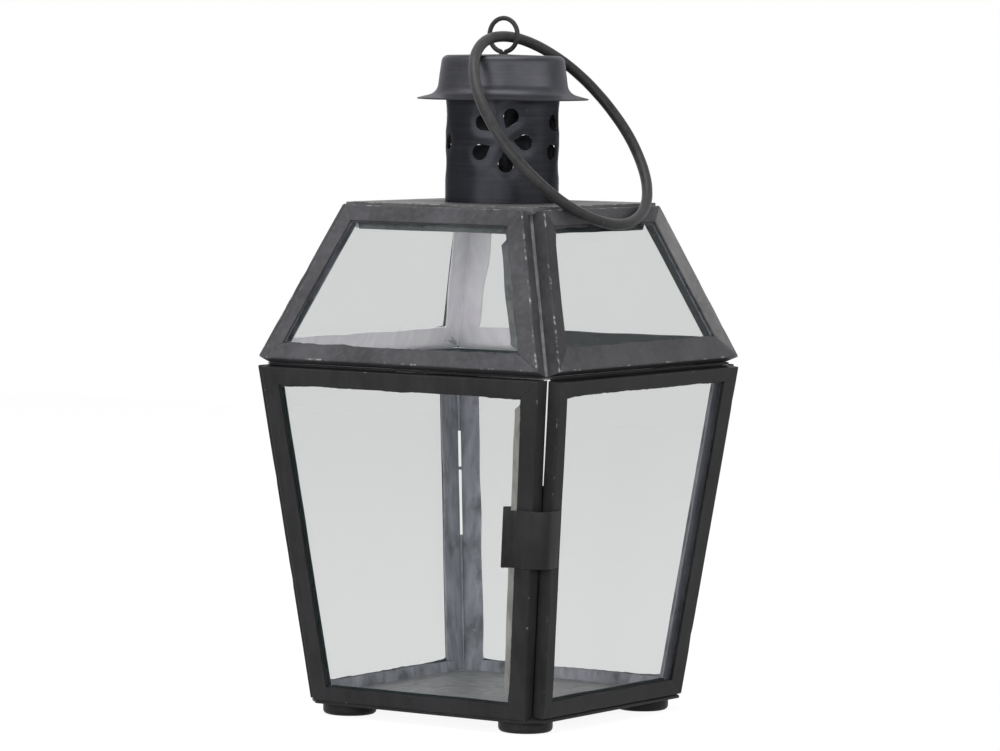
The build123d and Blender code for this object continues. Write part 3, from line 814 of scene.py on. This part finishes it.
def spun_tree():
    """A sheet profile turned round the upright axis, slightly out of true."""
    measures = ("Wobble", "Wobble size", "Seed")
    tree, g, given = geometry_tree("lantern_spun_sheet", measures, ("Along", "Around"))
    profile = g.out("GeometryNodeMeshToCurve", {0: given["Geometry"]})
    grid = g.out("GeometryNodeMeshGrid", {"Size X": 1.0, "Size Y": 1.0, "Vertices X": given["Along"],
                                          "Vertices Y": given["Around"]})
    place = g.apart(g.place())
    share = g.plus(place[0], 0.5)
    angle = g.times(g.plus(place[1], 0.5), math.tau)
    sample = g.node("GeometryNodeSampleCurve", {"Curves": profile, "Factor": share}, mode="FACTOR")
    spot = g.apart(sample.outputs["Position"])
    x = g.times(spot[0], g.math("COSINE", angle))
    y = g.times(spot[0], g.math("SINE", angle))
    turned = g.out("ShaderNodeCombineXYZ", {0: x, 1: y, 2: spot[2]})
    shape = g.out("GeometryNodeSetPosition", {"Geometry": grid, "Position": turned})
    shape = g.out("GeometryNodeMergeByDistance", {"Geometry": shape, "Distance": 1e-6})
    wobble = noise_offset(g, given["Wobble size"], given["Wobble"], given["Seed"])
    close_tree(g, g.moved(shape, wobble), given["Material"])
    return tree


def corner_tree():
    """One piece set at the four corners of a square."""
    tree, g, given = geometry_tree("lantern_at_corners", ["Spacing"])
    corners = g.out("GeometryNodeMeshGrid", {"Size X": given["Spacing"], "Size Y": given["Spacing"],
                                             "Vertices X": 2, "Vertices Y": 2})
    set_out = g.out("GeometryNodeInstanceOnPoints", {"Points": corners, "Instance": given["Geometry"]})
    close_tree(g, set_out, given["Material"])
    return tree


def pierced_tree():
    """A tube with flowers of petals punched through it, dimpled round each hole."""
    measures = ("Radius", "Wall", "Low", "High", "Flower turn", "Flower height", "Petal ring", "Petal turn",
                "Front aside", "Back aside", "Back drop", "Back turn", "Dimple", "Reach", "Seed")
    rub_reach, sway_size, sway_amount, past_ends = 0.35 * MM, 0.03, 0.12 * MM, 1.05
    tree, g, given = geometry_tree("lantern_pierced_tube", measures, ("Flowers", "Petals"))
    radius = given["Radius"]
    index = g.out("GeometryNodeInputIndex")
    flower = g.math("FLOOR", g.math("DIVIDE", index, given["Petals"]))
    petal = g.math("MODULO", index, given["Petals"])
    petal_part = g.times(g.math("DIVIDE", petal, given["Petals"]), math.tau)
    is_front, is_back = (g.out("ShaderNodeMath", {0: flower, 1: place, 2: 0.1}, operation="COMPARE")
                         for place in (0.0, 2.0))
    aside = g.plus(g.times(is_front, given["Front aside"]), g.times(is_back, given["Back aside"]))
    lean = g.plus(given["Petal turn"], g.times(is_back, given["Back turn"]), petal_part)
    swing = g.math("DIVIDE", g.times(given["Petal ring"], g.math("SINE", lean)), radius)
    flower_part = g.times(g.math("DIVIDE", flower, given["Flowers"]), math.tau)
    round_axis = g.plus(given["Flower turn"], flower_part, aside, swing)
    flower_height = g.math("SUBTRACT", given["Flower height"], g.times(is_back, given["Back drop"]))
    rise = g.plus(flower_height, g.times(given["Petal ring"], g.math("COSINE", lean)))
    x = g.times(radius, g.math("SINE", round_axis))
    y = g.times(radius, g.times(g.math("COSINE", round_axis), -1.0))
    spot = g.out("ShaderNodeCombineXYZ", {0: x, 1: y, 2: rise})
    total = g.times(given["Flowers"], given["Petals"])
    points = g.out("GeometryNodePoints", {"Count": total, "Position": spot})
    tip, round_z = (g.out("FunctionNodeAxisAngleToRotation", {"Axis": axis, "Angle": angle})
                    for axis, angle in (((0.0, 1.0, 0.0), lean), ((0.0, 0.0, 1.0), round_axis)))
    facing = g.out("FunctionNodeRotateRotation", {0: tip, 1: round_z}, rotation_space="GLOBAL")
    punches = g.out("GeometryNodeInstanceOnPoints",
                    {"Points": points, "Instance": given["Geometry"], "Rotation": facing})
    punches = g.out("GeometryNodeRealizeInstances", {0: punches})
    height = g.math("SUBTRACT", given["High"], given["Low"])
    middle = g.times(g.plus(given["High"], given["Low"]), 0.5)
    lift = g.out("ShaderNodeCombineXYZ", {2: middle})

    def cylinder(size, tall):
        made = g.out("GeometryNodeMeshCylinder", {"Vertices": 144, "Side Segments": 60, "Radius": size,
                                                  "Depth": tall})
        return g.out("GeometryNodeTransform", {"Geometry": made, "Translation": lift})

    solid = cylinder(radius, height)
    bore = cylinder(g.math("SUBTRACT", radius, given["Wall"]), g.times(height, past_ends))
    cut = g.node("GeometryNodeMeshBoolean", {"Mesh 1": solid}, operation="DIFFERENCE", solver="MANIFOLD")
    g.tree.links.new(bore, cut.inputs["Mesh 2"])
    g.tree.links.new(punches, cut.inputs["Mesh 2"])
    near = g.node("GeometryNodeProximity", {0: punches}, target_element="FACES").outputs["Distance"]
    share = g.math("DIVIDE", near, given["Reach"])
    bell = g.math("EXPONENT", g.times(share, share, -1.0))
    outward = g.vector("NORMALIZE", {0: g.vector("MULTIPLY", {0: g.place(), 1: (1.0, 1.0, 0.0)})})
    pushed = g.vector("SCALE", {0: outward, 3: g.times(bell, given["Dimple"], -1.0)})
    rub = g.between(near, 0.0, rub_reach, 1.0, 0.0)
    stored = {"Geometry": cut.outputs[0], "Name": "rub", "Value": rub}
    tube = g.out("GeometryNodeStoreNamedAttribute", stored, data_type="FLOAT", domain="POINT")
    sway = noise_offset(g, sway_size, sway_amount, given["Seed"])
    close_tree(g, g.moved(g.moved(tube, pushed), sway), given["Material"])
    return tree


def rounded_path(points, radii):
    """A path in the upright plane with each bend rounded to a radius."""
    steps = 8
    path = [points[0]]
    for before, bend, after, radius in zip(points, points[1:], points[2:], radii):
        to_before, to_after = (before - bend).normalized(), (after - bend).normalized()
        half = to_before.angle(to_after) / 2
        reach = radius / math.tan(half)
        centre = bend + (to_before + to_after).normalized() * (radius / math.sin(half))
        first, last = bend + to_before * reach - centre, bend + to_after * reach - centre
        sweep = first.angle_signed(last)
        for k in range(steps + 1):
            path.append(centre + Matrix.Rotation(-sweep * k / steps, 2) @ first)
    return path + [points[-1]]


def sheet_profile(points, radii, thickness):
    """Closed profile of a spun or pressed sheet: a rounded path, and the same path moved to its left."""
    near = rounded_path(points, radii)
    far = []
    for i, point in enumerate(near):
        direction = near[min(i + 1, len(near) - 1)] - near[max(i - 1, 0)]
        far.append(point + left_of(direction) * thickness)
    return [Vector((p.x, 0.0, p.y)) for p in near + far[::-1]]


class LANTERN_OT_frames(bpy.types.Operator):
    """Fold the rails and stiles of the body, the door and the roof"""

    bl_idname = "lantern.frames"
    bl_label = "Rails and stiles"

    def execute(self, context):
        paints = finishes()
        # Painted light and shade: the right stile above the door takes a lighter copy of the roof's paint,
        # and the left stile beside the front hip takes a darker copy.
        own_finish = {"roof_right_right_stile": "dusty_paint", "roof_right_left_stile": "shade_paint"}
        seed = 0
        for prefix, panel, body, names, paint, insides in all_panels():
            for index, name in enumerate(names):
                seed += 1
                node = f"{prefix}_{name}"
                mesh = strip_mesh(panel, index, seed)
                outside = paints[own_finish.get(node, paint)]
                add_piece(node + "_sheet", mesh, body, [node], [outside, paints[insides[index]]])
        return {"FINISHED"}


class LANTERN_OT_panes(bpy.types.Operator):
    """Glaze every panel, with the ragged edge of paint on the glass"""

    bl_idname = "lantern.panes"
    bl_label = "Panes"

    def execute(self, context):
        paints = finishes()
        for seed, (prefix, panel, body, _, paint, insides) in enumerate(all_panels()):
            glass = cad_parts[prefix + "_glass"]
            glass.data.materials.clear()
            glass.data.materials.append(paints["pane"])
            finish = [paints[paint], paints[insides[TOP]]]
            add_piece(prefix + "_paint_line", paint_line_mesh(panel, 40 + seed), body, (), finish)
        return {"FINISHED"}


class LANTERN_OT_base(bpy.types.Operator):
    """Lay the base sheet, grey inside and black underneath"""

    bl_idname = "lantern.base"
    bl_label = "Base sheet"

    def execute(self, context):
        paints = finishes()
        mesh = node_copy("base_plate", 0.2 * MM)
        finish = [paints["foot_paint"], paints["body_frame_paint"], paints["base_sheet"]]
        border = 5.0 * MM
        work = opened(mesh)
        tops = [face for face in work.faces if face.normal.z > 0.9]
        bmesh.ops.inset_region(work, faces=tops, thickness=border, use_even_offset=True)
        for face in tops:
            face.material_index = 2
        add_piece("base_sheet", finished(work, mesh), "lantern", ["base_plate"], finish)
        return {"FINISHED"}


class LANTERN_OT_feet(bpy.types.Operator):
    """Press the four cup feet"""

    bl_idname = "lantern.feet"
    bl_label = "Feet"

    def execute(self, context):
        paints = finishes()
        sizes = context.scene.lantern_top
        low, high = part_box("foot_back_right")
        radius = (high.x - low.x) / 2
        centre = (high.x + low.x) / 2
        path = [Vector((0.3 * MM, low.z)), Vector((radius, low.z)), Vector((radius, high.z))]
        profile = sheet_profile(path, [sizes.foot_edge], sizes.foot_wall)
        foot = grown(spun_tree(), edge_mesh(profile, True), {
            "Along": 60, "Around": 65, "Wobble": 0.04 * MM, "Wobble size": 0.006, "Seed": 4.0,
            "Material": paints["foot_paint"]})
        mesh = grown(corner_tree(), foot, {"Spacing": 2 * centre, "Material": paints["foot_paint"]})
        faced_outwards(mesh)
        nodes = [f"foot_{end}_{side}" for end in ("front", "back") for side in ("left", "right")]
        add_piece("feet", mesh, "lantern", nodes)
        return {"FINISHED"}


class LANTERN_OT_hinge(bpy.types.Operator):
    """Roll the hinge knuckles round their pin"""

    bl_idname = "lantern.hinge"
    bl_label = "Hinge"

    def execute(self, context):
        bodies = {"hinge_door_knuckle": "door", "hinge_frame_knuckle": "lantern", "hinge_pin": "lantern"}
        for node, body in bodies.items():
            copied_piece(node, node + "_rolled", body, 0.15 * MM)
        return {"FINISHED"}


class LANTERN_OT_clasp(bpy.types.Operator):
    """Bend the clasp round the front corner"""

    bl_idname = "lantern.clasp"
    bl_label = "Clasp"

    def execute(self, context):
        copied_piece("clasp", "clasp_bent", "door", 0.14 * MM)
        return {"FINISHED"}


class LANTERN_OT_stops(bpy.types.Operator):
    """Set the strips that close the slits behind the door"""

    bl_idname = "lantern.stops"
    bl_label = "Door stops"

    def execute(self, context):
        for node in ("corner_stop", "eaves_stop"):
            copied_piece(node, node + "_sheet", "lantern", 0.12 * MM)
        return {"FINISHED"}


class LANTERN_OT_plates(bpy.types.Operator):
    """Lay the flat frame under the eaves and the plate on the roof"""

    bl_idname = "lantern.plates"
    bl_label = "Eaves frame and top plate"

    def execute(self, context):
        copied_piece("eaves_frame", "eaves_sheet", "lantern", 0.12 * MM, edge="body_frame_paint")
        # The top plate's lighter paint is a painted reflection of the light grazing its flat top.
        copied_piece("top_plate", "top_plate_sheet", "lantern", 0.2 * MM, "plate_paint",
                     "top_edge_paint")
        return {"FINISHED"}


class LANTERN_OT_chimney(bpy.types.Operator):
    """Roll the chimney and punch its flowers"""

    bl_idname = "lantern.chimney"
    bl_label = "Chimney"

    def execute(self, context):
        paints = finishes()
        sizes = context.scene.lantern_top
        sheet = context.scene.lantern_sheet.sheet
        low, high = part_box("chimney")
        plate_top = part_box("top_plate")[1].z
        mesh = grown(pierced_tree(), self.punch(sizes, sheet), {
            "Radius": high.x, "Wall": sheet, "Low": low.z, "High": high.z,
            "Flowers": sizes.flower_count, "Flower turn": sizes.flower_turn,
            "Flower height": plate_top + sizes.flower_rise, "Petals": sizes.petal_count,
            "Petal ring": sizes.petal_ring, "Petal turn": sizes.petal_turn,
            "Front aside": sizes.front_aside, "Back aside": sizes.back_aside,
            "Back drop": sizes.back_drop, "Back turn": sizes.back_turn,
            "Dimple": sizes.dimple, "Reach": 1.7 * MM, "Seed": 2.0, "Material": paints["chimney_paint"]})
        smooth(mesh, 40.0)
        add_piece("chimney_tube", mesh, "lantern", ["chimney"])
        return {"FINISHED"}

    def punch(self, sizes, sheet):
        """A closed petal-shaped punch, facing the front, with its tip down."""
        radius = sizes.petal_width / 2
        tip = sizes.petal_length - radius
        flank = math.acos(radius / tip)
        start = -math.pi / 2 + flank
        sweep = 2 * (math.pi - flank)
        count = 26
        turns = [start + sweep * k / count for k in range(count + 1)]
        outline = [(radius * math.cos(a), radius * math.sin(a)) for a in turns] + [(0.0, -tip)]
        work = bmesh.new()
        near, far = ([work.verts.new((x, y, z)) for x, z in outline] for y in (-3 * sheet, 3 * sheet))
        work.faces.new(near)
        work.faces.new(far[::-1])
        for i in range(len(outline)):
            k = (i + 1) % len(outline)
            work.faces.new((near[k], near[i], far[i], far[k]))
        bmesh.ops.recalc_face_normals(work, faces=work.faces)
        return finished(work, bpy.data.meshes.new("punch"))


class LANTERN_OT_cap(bpy.types.Operator):
    """Spin the cap of the chimney"""

    bl_idname = "lantern.cap"
    bl_label = "Cap"

    def execute(self, context):
        paints = finishes()
        sizes = context.scene.lantern_top
        sheet = context.scene.lantern_sheet.sheet
        low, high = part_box("cap")
        crown_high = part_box("chimney")[1].x + sizes.crown_ease
        path = [
            Vector((high.x, low.z)),
            Vector((crown_high + sizes.crown_flare, low.z + sizes.brim_fall)),
            Vector((crown_high, high.z - sizes.crown_dome)),
            Vector((1.1 * sizes.eye_wire, high.z)),
        ]
        profile = sheet_profile(path, [sizes.crown_foot, sizes.crown_edge], sheet)
        mesh = grown(spun_tree(), edge_mesh(profile, True), {
            "Along": 220, "Around": 145, "Wobble": sizes.cap_wobble, "Wobble size": 0.028, "Seed": 7.0,
            "Material": paints["cap_paint"]})
        faced_outwards(mesh, 50.0)
        add_piece("cap_spun", mesh, "lantern", ["cap"])
        return {"FINISHED"}


class LANTERN_OT_wires(bpy.types.Operator):
    """Bend the hanger eye and the ring handle from wire"""

    bl_idname = "lantern.wires"
    bl_label = "Eye and ring"

    def execute(self, context):
        paints = finishes()
        sizes = context.scene.lantern_top
        tree = run_tree()
        mesh = grown(tree, edge_mesh(self.ring_path(sizes), True), {
            "Radius": sizes.handle_wire / 2, "Step": 1.6 * MM, "Sides": 28, "Sway": 0.1 * MM,
            "Lump": 0.05 * MM, "Lump size": 0.012, "Seed": 3.0, "Material": paints["wire_paint"]})
        faced_outwards(mesh)
        add_piece("ring_wire", mesh, "handle", ["ring_handle"])
        mesh = grown(tree, edge_mesh(self.eye_path(sizes)), {
            "Radius": sizes.eye_wire / 2, "Step": 0.7 * MM, "Sides": 20, "Sway": 0.0, "Lump": 0.03 * MM,
            "Lump size": 0.006, "Seed": 5.0, "Material": paints["wire_paint"]})
        faced_outwards(mesh)
        add_piece("eye_wire", mesh, "lantern", ["hanger_eye"])
        return {"FINISHED"}

    def ring_path(self, sizes):
        """Centre line of the ring at rest, from the box of its frame node."""
        low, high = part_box("ring_handle")
        centre, half = (low + high) / 2, (high - low) / 2
        wire = sizes.handle_wire / 2
        lean = math.atan2(half.z - wire, half.x - wire)
        radius = half.y - wire
        slope = Vector((math.cos(lean), 0.0, -math.sin(lean)))
        across = Vector((0.0, 1.0, 0.0))
        count = 180
        turns = [math.tau * k / count for k in range(count)]
        return [centre + (across * math.cos(a) + slope * math.sin(a)) * radius for a in turns]

    def eye_path(self, sizes):
        """Centre line of the eye: a loop, and two legs that spread under the crown."""
        wire = sizes.eye_wire / 2
        radius = sizes.eye_radius
        centre = Vector((0.0, 0.0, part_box("hanger_eye")[1].z - wire - radius))
        leg = wire + 0.05 * MM
        open_half = math.asin(leg / radius)
        count = 60
        loop = [-math.pi / 2 + open_half + (math.tau - 2 * open_half) * k / count for k in range(count + 1)]
        path = [centre + Vector((math.cos(a), 0.0, math.sin(a))) * radius for a in loop]
        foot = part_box("cap")[1].z - sizes.eye_leg_drop
        reach = leg + sizes.eye_leg_spread
        right = [Vector((leg, 0.0, foot)), Vector((reach, 0.0, foot))]
        left = [Vector((-reach, 0.0, foot)), Vector((-leg, 0.0, foot))]
        return right[::-1] + path + left[::-1]


class LANTERN_OT_solder(bpy.types.Operator):
    """Run the beads of solder in the grooves"""

    bl_idname = "lantern.solder"
    bl_label = "Solder"

    def execute(self, context):
        paints = finishes()
        bevel = 0.3 * MM
        mesh = node_copy("body_solder", bevel)
        self.lower_seams(mesh)
        finish = [paints["solder"], paints["inner_metal"]]
        add_piece("body_solder_beads", self.lumpy(mesh), "lantern", ["body_solder"], finish)
        mesh = self.lumpy(node_copy("roof_solder", bevel))
        # The hip solder's pale tone is partly a painted highlight along the hips.
        add_piece("roof_solder_beads", mesh, "lantern", ["roof_solder"], [paints["hip_solder"]] * 2)
        tree = run_tree()
        runs = (("waist_bead", self.waist_path(), 0.3 * MM, "solder"),
                ("far_hip_bead", self.far_hip_path(), 0.7 * MM, "roof_inner_metal"))
        for name, path, radius, finish in runs:
            beads = grown(tree, edge_mesh(path), {
                "Radius": radius, "Step": 0.8 * MM, "Sides": 12, "Sway": 0.05 * MM, "Lump": 0.04 * MM,
                "Lump size": 0.003, "Seed": 2.0, "Material": paints[finish]})
            faced_outwards(beads)
            for face in beads.polygons:
                outwards = Vector((face.center.x, face.center.y, 0.0))
                face.material_index = int(face.normal.dot(outwards) > 0.0)
            add_piece(name, beads, "lantern", (), [paints["solder"]])
        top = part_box("base_plate")[1]
        radius, corner_gap, lift = 2.8 * MM, 5.6 * MM, 0.4 * MM
        place = Vector((-top.x + corner_gap, top.y - corner_gap, top.z + lift))
        add_piece("floor_blob", self.blob(place, radius), "lantern", (), [paints["inner_metal"]])
        return {"FINISHED"}

    def lower_seams(self, mesh):
        """Move the open part of the corner seams down, along the leaning corners."""
        drop, low, high = 15.0 * MM, 30.0 * MM, 116.0 * MM
        wide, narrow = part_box("front_top_rail")[1].x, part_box("front_bottom_rail")[1].x
        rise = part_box("front_top_rail")[1].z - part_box("front_bottom_rail")[0].z
        slope = (wide - narrow) / rise
        for vertex in mesh.vertices:
            if low < vertex.co.z < high:
                inwards = Vector((math.copysign(1.0, vertex.co.x), math.copysign(1.0, vertex.co.y), 0.0))
                vertex.co -= inwards * slope * drop + Vector((0.0, 0.0, drop))

    def waist_path(self):
        """Round the front corner of the eaves frame, where its corner is cut off."""
        low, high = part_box("eaves_frame")
        cut_off, arm = 0.4 * MM, 7.0 * MM
        edge, level = high.x - cut_off, (low.z + high.z) / 2
        corner = Vector((edge, -edge, level))
        return [corner - Vector((arm, 0.0, 0.0)), corner, corner + Vector((0.0, arm, 0.0))]

    def far_hip_path(self):
        """Up the inside of the far hip, along the left panel's stile."""
        panel = next(row[1] for row in all_panels() if row[0] == "roof_left")
        start, direction, inward, span = panel.side(LEFT)[:4]
        ends, beside = (3.0 * MM, span - 1.0 * MM), 0.4 * MM
        return [panel.place(start + direction * along - inward * beside, -panel.depth) for along in ends]

    def blob(self, place, radius):
        """Solder run into a corner."""
        lump, flattened = 0.3 * MM, 0.7
        work = bmesh.new()
        bmesh.ops.create_icosphere(work, subdivisions=3, radius=radius, matrix=Matrix.Translation(place))
        for vertex in work.verts:
            vertex.co += vertex.normal * lump * wander(vertex.co, 0.004, 11)
            vertex.co.z = place.z + (vertex.co.z - place.z) * flattened
        return smooth(finished(work, bpy.data.meshes.new("blob")))

    def lumpy(self, mesh):
        """Cut a straight bead into short lengths and make it uneven."""
        spacing, lump, facing = 1.6 * MM, 0.14 * MM, 0.3
        work = opened(mesh)
        heights = [vertex.co.z for vertex in work.verts]
        level = min(heights) + spacing
        while level < max(heights):
            every = work.verts[:] + work.edges[:] + work.faces[:]
            bmesh.ops.bisect_plane(work, geom=every, plane_co=(0.0, 0.0, level), plane_no=(0.0, 0.0, 1.0))
            level += spacing
        work.normal_update()
        for vertex in work.verts:
            vertex.co += vertex.normal * lump * wander(vertex.co, 0.0035, 9)
        for face in work.faces:
            middle = face.calc_center_median()
            inwards = -Vector((middle.x, middle.y, 0.0)).normalized()
            face.material_index = int(face.normal.dot(inwards) > facing)
        return finished(work, mesh)


class LANTERN_OT_stage(bpy.types.Operator):
    """Set the floor, the light and the camera"""

    bl_idname = "lantern.stage"
    bl_label = "Stage"

    FOCAL_PIXELS = 5034.4
    PICTURE_WIDTH = 1000.0
    SENSOR = 36.0
    DISTANCE = 1.8635
    AZIMUTH = 34.04
    ELEVATION = 3.77
    ROLL = 0.60
    AIM_HEIGHT = 0.12494
    FAR_CLIP = 20.0
    FLOOR_REACH = 1.2
    LIGHT_UNIT = 4.0
    # Name, azimuth, elevation, distance, width, height and brightness of each soft light
    LIGHTS = (
        ("front_light", 8.0, 15.0, 1.4, 1.5, 0.32, 5.0),
        ("door_light", 84.0, 15.0, 1.4, 2.2, 0.28, 4.0),
        ("low_light", 18.0, 2.0, 1.6, 2.4, 0.45, 1.7),
        ("left_light", -41.0, 62.0, 1.4, 0.9, 0.9, 1.6),
        ("top_light", 0.0, 86.0, 1.3, 1.0, 1.0, 3.2),
    )
    WHITE = (*EVEN, 1.0)

    def execute(self, context):
        self.floor()
        self.world()
        for light in self.LIGHTS:
            self.softbox(*light)
        self.camera()
        context.scene.view_settings.view_transform = "Standard"
        return {"FINISHED"}

    def seen(self, g):
        """Whether a ray comes from the camera, a gloss or a glass."""
        ray = g.node("ShaderNodeLightPath").outputs
        return g.math("MAXIMUM", g.math("MAXIMUM", ray["Is Camera Ray"], ray["Is Glossy Ray"]),
                      ray["Is Transmission Ray"])

    def floor(self):
        """A pale floor under the lantern that ends beside the door, which swings below its feet."""
        tones = bpy.context.scene.lantern_finishes
        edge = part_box("base_plate")[1].x + 2.0 * MM
        far = self.FLOOR_REACH
        work = bmesh.new()
        corners = [(-far, -far), (edge, -far), (edge, far), (-far, far)]
        work.faces.new([work.verts.new((x, y, 0.0)) for x, y in corners])
        mesh = finished(work, bpy.data.meshes.new("floor"))
        material, g = new_material("floor")
        seen = self.seen(g)
        diffuse = g.out("ShaderNodeBsdfDiffuse", {"Color": shade(tones.floor, 1.0)})
        paper = g.out("ShaderNodeBsdfDiffuse", {"Color": shade(tones.floor, 0.16)})
        glow = g.out("ShaderNodeEmission", {"Color": self.WHITE, "Strength": 0.92})
        shown = g.out("ShaderNodeAddShader", {0: glow, 1: paper})
        both = g.out("ShaderNodeMixShader", {0: seen, 1: diffuse, 2: shown})
        g.node("ShaderNodeOutputMaterial", {"Surface": both})
        mesh.materials.append(material)
        new_object("floor", mesh)

    def world(self):
        """A white surround that is seen at full strength, and lights the lantern mostly from above."""
        world = bpy.data.worlds.new("studio")
        world.use_nodes = True
        world.node_tree.nodes.clear()
        g = Graph(world.node_tree)
        seen = self.seen(g)
        look = g.node("ShaderNodeTexCoord").outputs["Generated"]
        strength = g.between(g.apart(look)[2], -0.1, 1.0, 0.22, 0.4)
        light = g.out("ShaderNodeBackground", {"Color": self.WHITE, "Strength": strength})
        white = g.out("ShaderNodeBackground", {"Color": self.WHITE, "Strength": 1.0})
        both = g.out("ShaderNodeMixShader", {0: seen, 1: light, 2: white})
        g.node("ShaderNodeOutputWorld", {"Surface": both})
        bpy.context.scene.world = world

    def stood_off(self, name, data, azimuth, elevation, distance):
        """A new object that looks at the lantern's middle.

        Its angles in degrees go from the front towards the door, and up from level."""
        around, up = math.radians(azimuth), math.radians(elevation)
        away = Vector((math.sin(around) * math.cos(up), -math.cos(around) * math.cos(up), math.sin(up)))
        made = new_object(name, data)
        made.location = Vector((0.0, 0.0, self.AIM_HEIGHT)) + away * distance
        made.rotation_mode = "QUATERNION"
        made.rotation_quaternion = away.to_track_quat("Z", "Y")
        return made

    def softbox(self, name, azimuth, elevation, distance, width, height, brightness):
        """A soft light that neither the camera nor the glass sees."""
        lamp = bpy.data.lights.new(name, "AREA")
        lamp.shape = "RECTANGLE"
        lamp.size = width
        lamp.size_y = height
        lamp.energy = brightness * self.LIGHT_UNIT * width * height
        light = self.stood_off(name, lamp, azimuth, elevation, distance)
        light.visible_camera = False
        light.visible_transmission = False

    def camera(self):
        """A long lens at the photograph's angle."""
        data = bpy.data.cameras.new("camera")
        data.sensor_width = self.SENSOR
        data.lens = self.FOCAL_PIXELS / self.PICTURE_WIDTH * self.SENSOR
        data.clip_end = self.FAR_CLIP
        camera = self.stood_off("camera", data, self.AZIMUTH, self.ELEVATION, self.DISTANCE)
        roll = Quaternion((0.0, 0.0, 1.0), math.radians(self.ROLL))
        camera.rotation_quaternion = camera.rotation_quaternion @ roll
        bpy.context.scene.camera = camera


PIECES = (LANTERN_OT_frames, LANTERN_OT_panes, LANTERN_OT_base, LANTERN_OT_feet, LANTERN_OT_hinge,
          LANTERN_OT_clasp, LANTERN_OT_stops, LANTERN_OT_plates, LANTERN_OT_chimney, LANTERN_OT_cap,
          LANTERN_OT_wires, LANTERN_OT_solder, LANTERN_OT_stage)
GROUPS = {
    "lantern_sheet": LanternSheetSizes,
    "lantern_top": LanternTopSizes,
    "lantern_finishes": LanternFinishes,
}


class LANTERN_PT_pieces(bpy.types.Panel):
    """Lists the pieces of the lantern with their sizes and finishes"""

    bl_idname = "LANTERN_PT_pieces"
    bl_label = "Candle lantern"
    bl_space_type = "VIEW_3D"
    bl_region_type = "UI"
    bl_category = "Lantern"

    def draw(self, context):
        for piece in PIECES:
            self.layout.operator(piece.bl_idname)
        for group in GROUPS:
            settings = getattr(context.scene, group)
            for name in settings.__annotations__:
                self.layout.prop(settings, name, text=name.replace("_", " ").capitalize())


def register():
    for name, group in GROUPS.items():
        bpy.utils.register_class(group)
        setattr(bpy.types.Scene, name, PointerProperty(type=group))
    for cls in (*PIECES, LANTERN_PT_pieces):
        bpy.utils.register_class(cls)


def unregister():
    for cls in (*PIECES, LANTERN_PT_pieces):
        bpy.utils.unregister_class(cls)
    for name, group in GROUPS.items():
        delattr(bpy.types.Scene, name)
        bpy.utils.unregister_class(group)


def main():
    register()
    for piece in PIECES:
        module, name = piece.bl_idname.split(".")
        getattr(getattr(bpy.ops, module), name)()


if __name__ == "__main__":
    main()
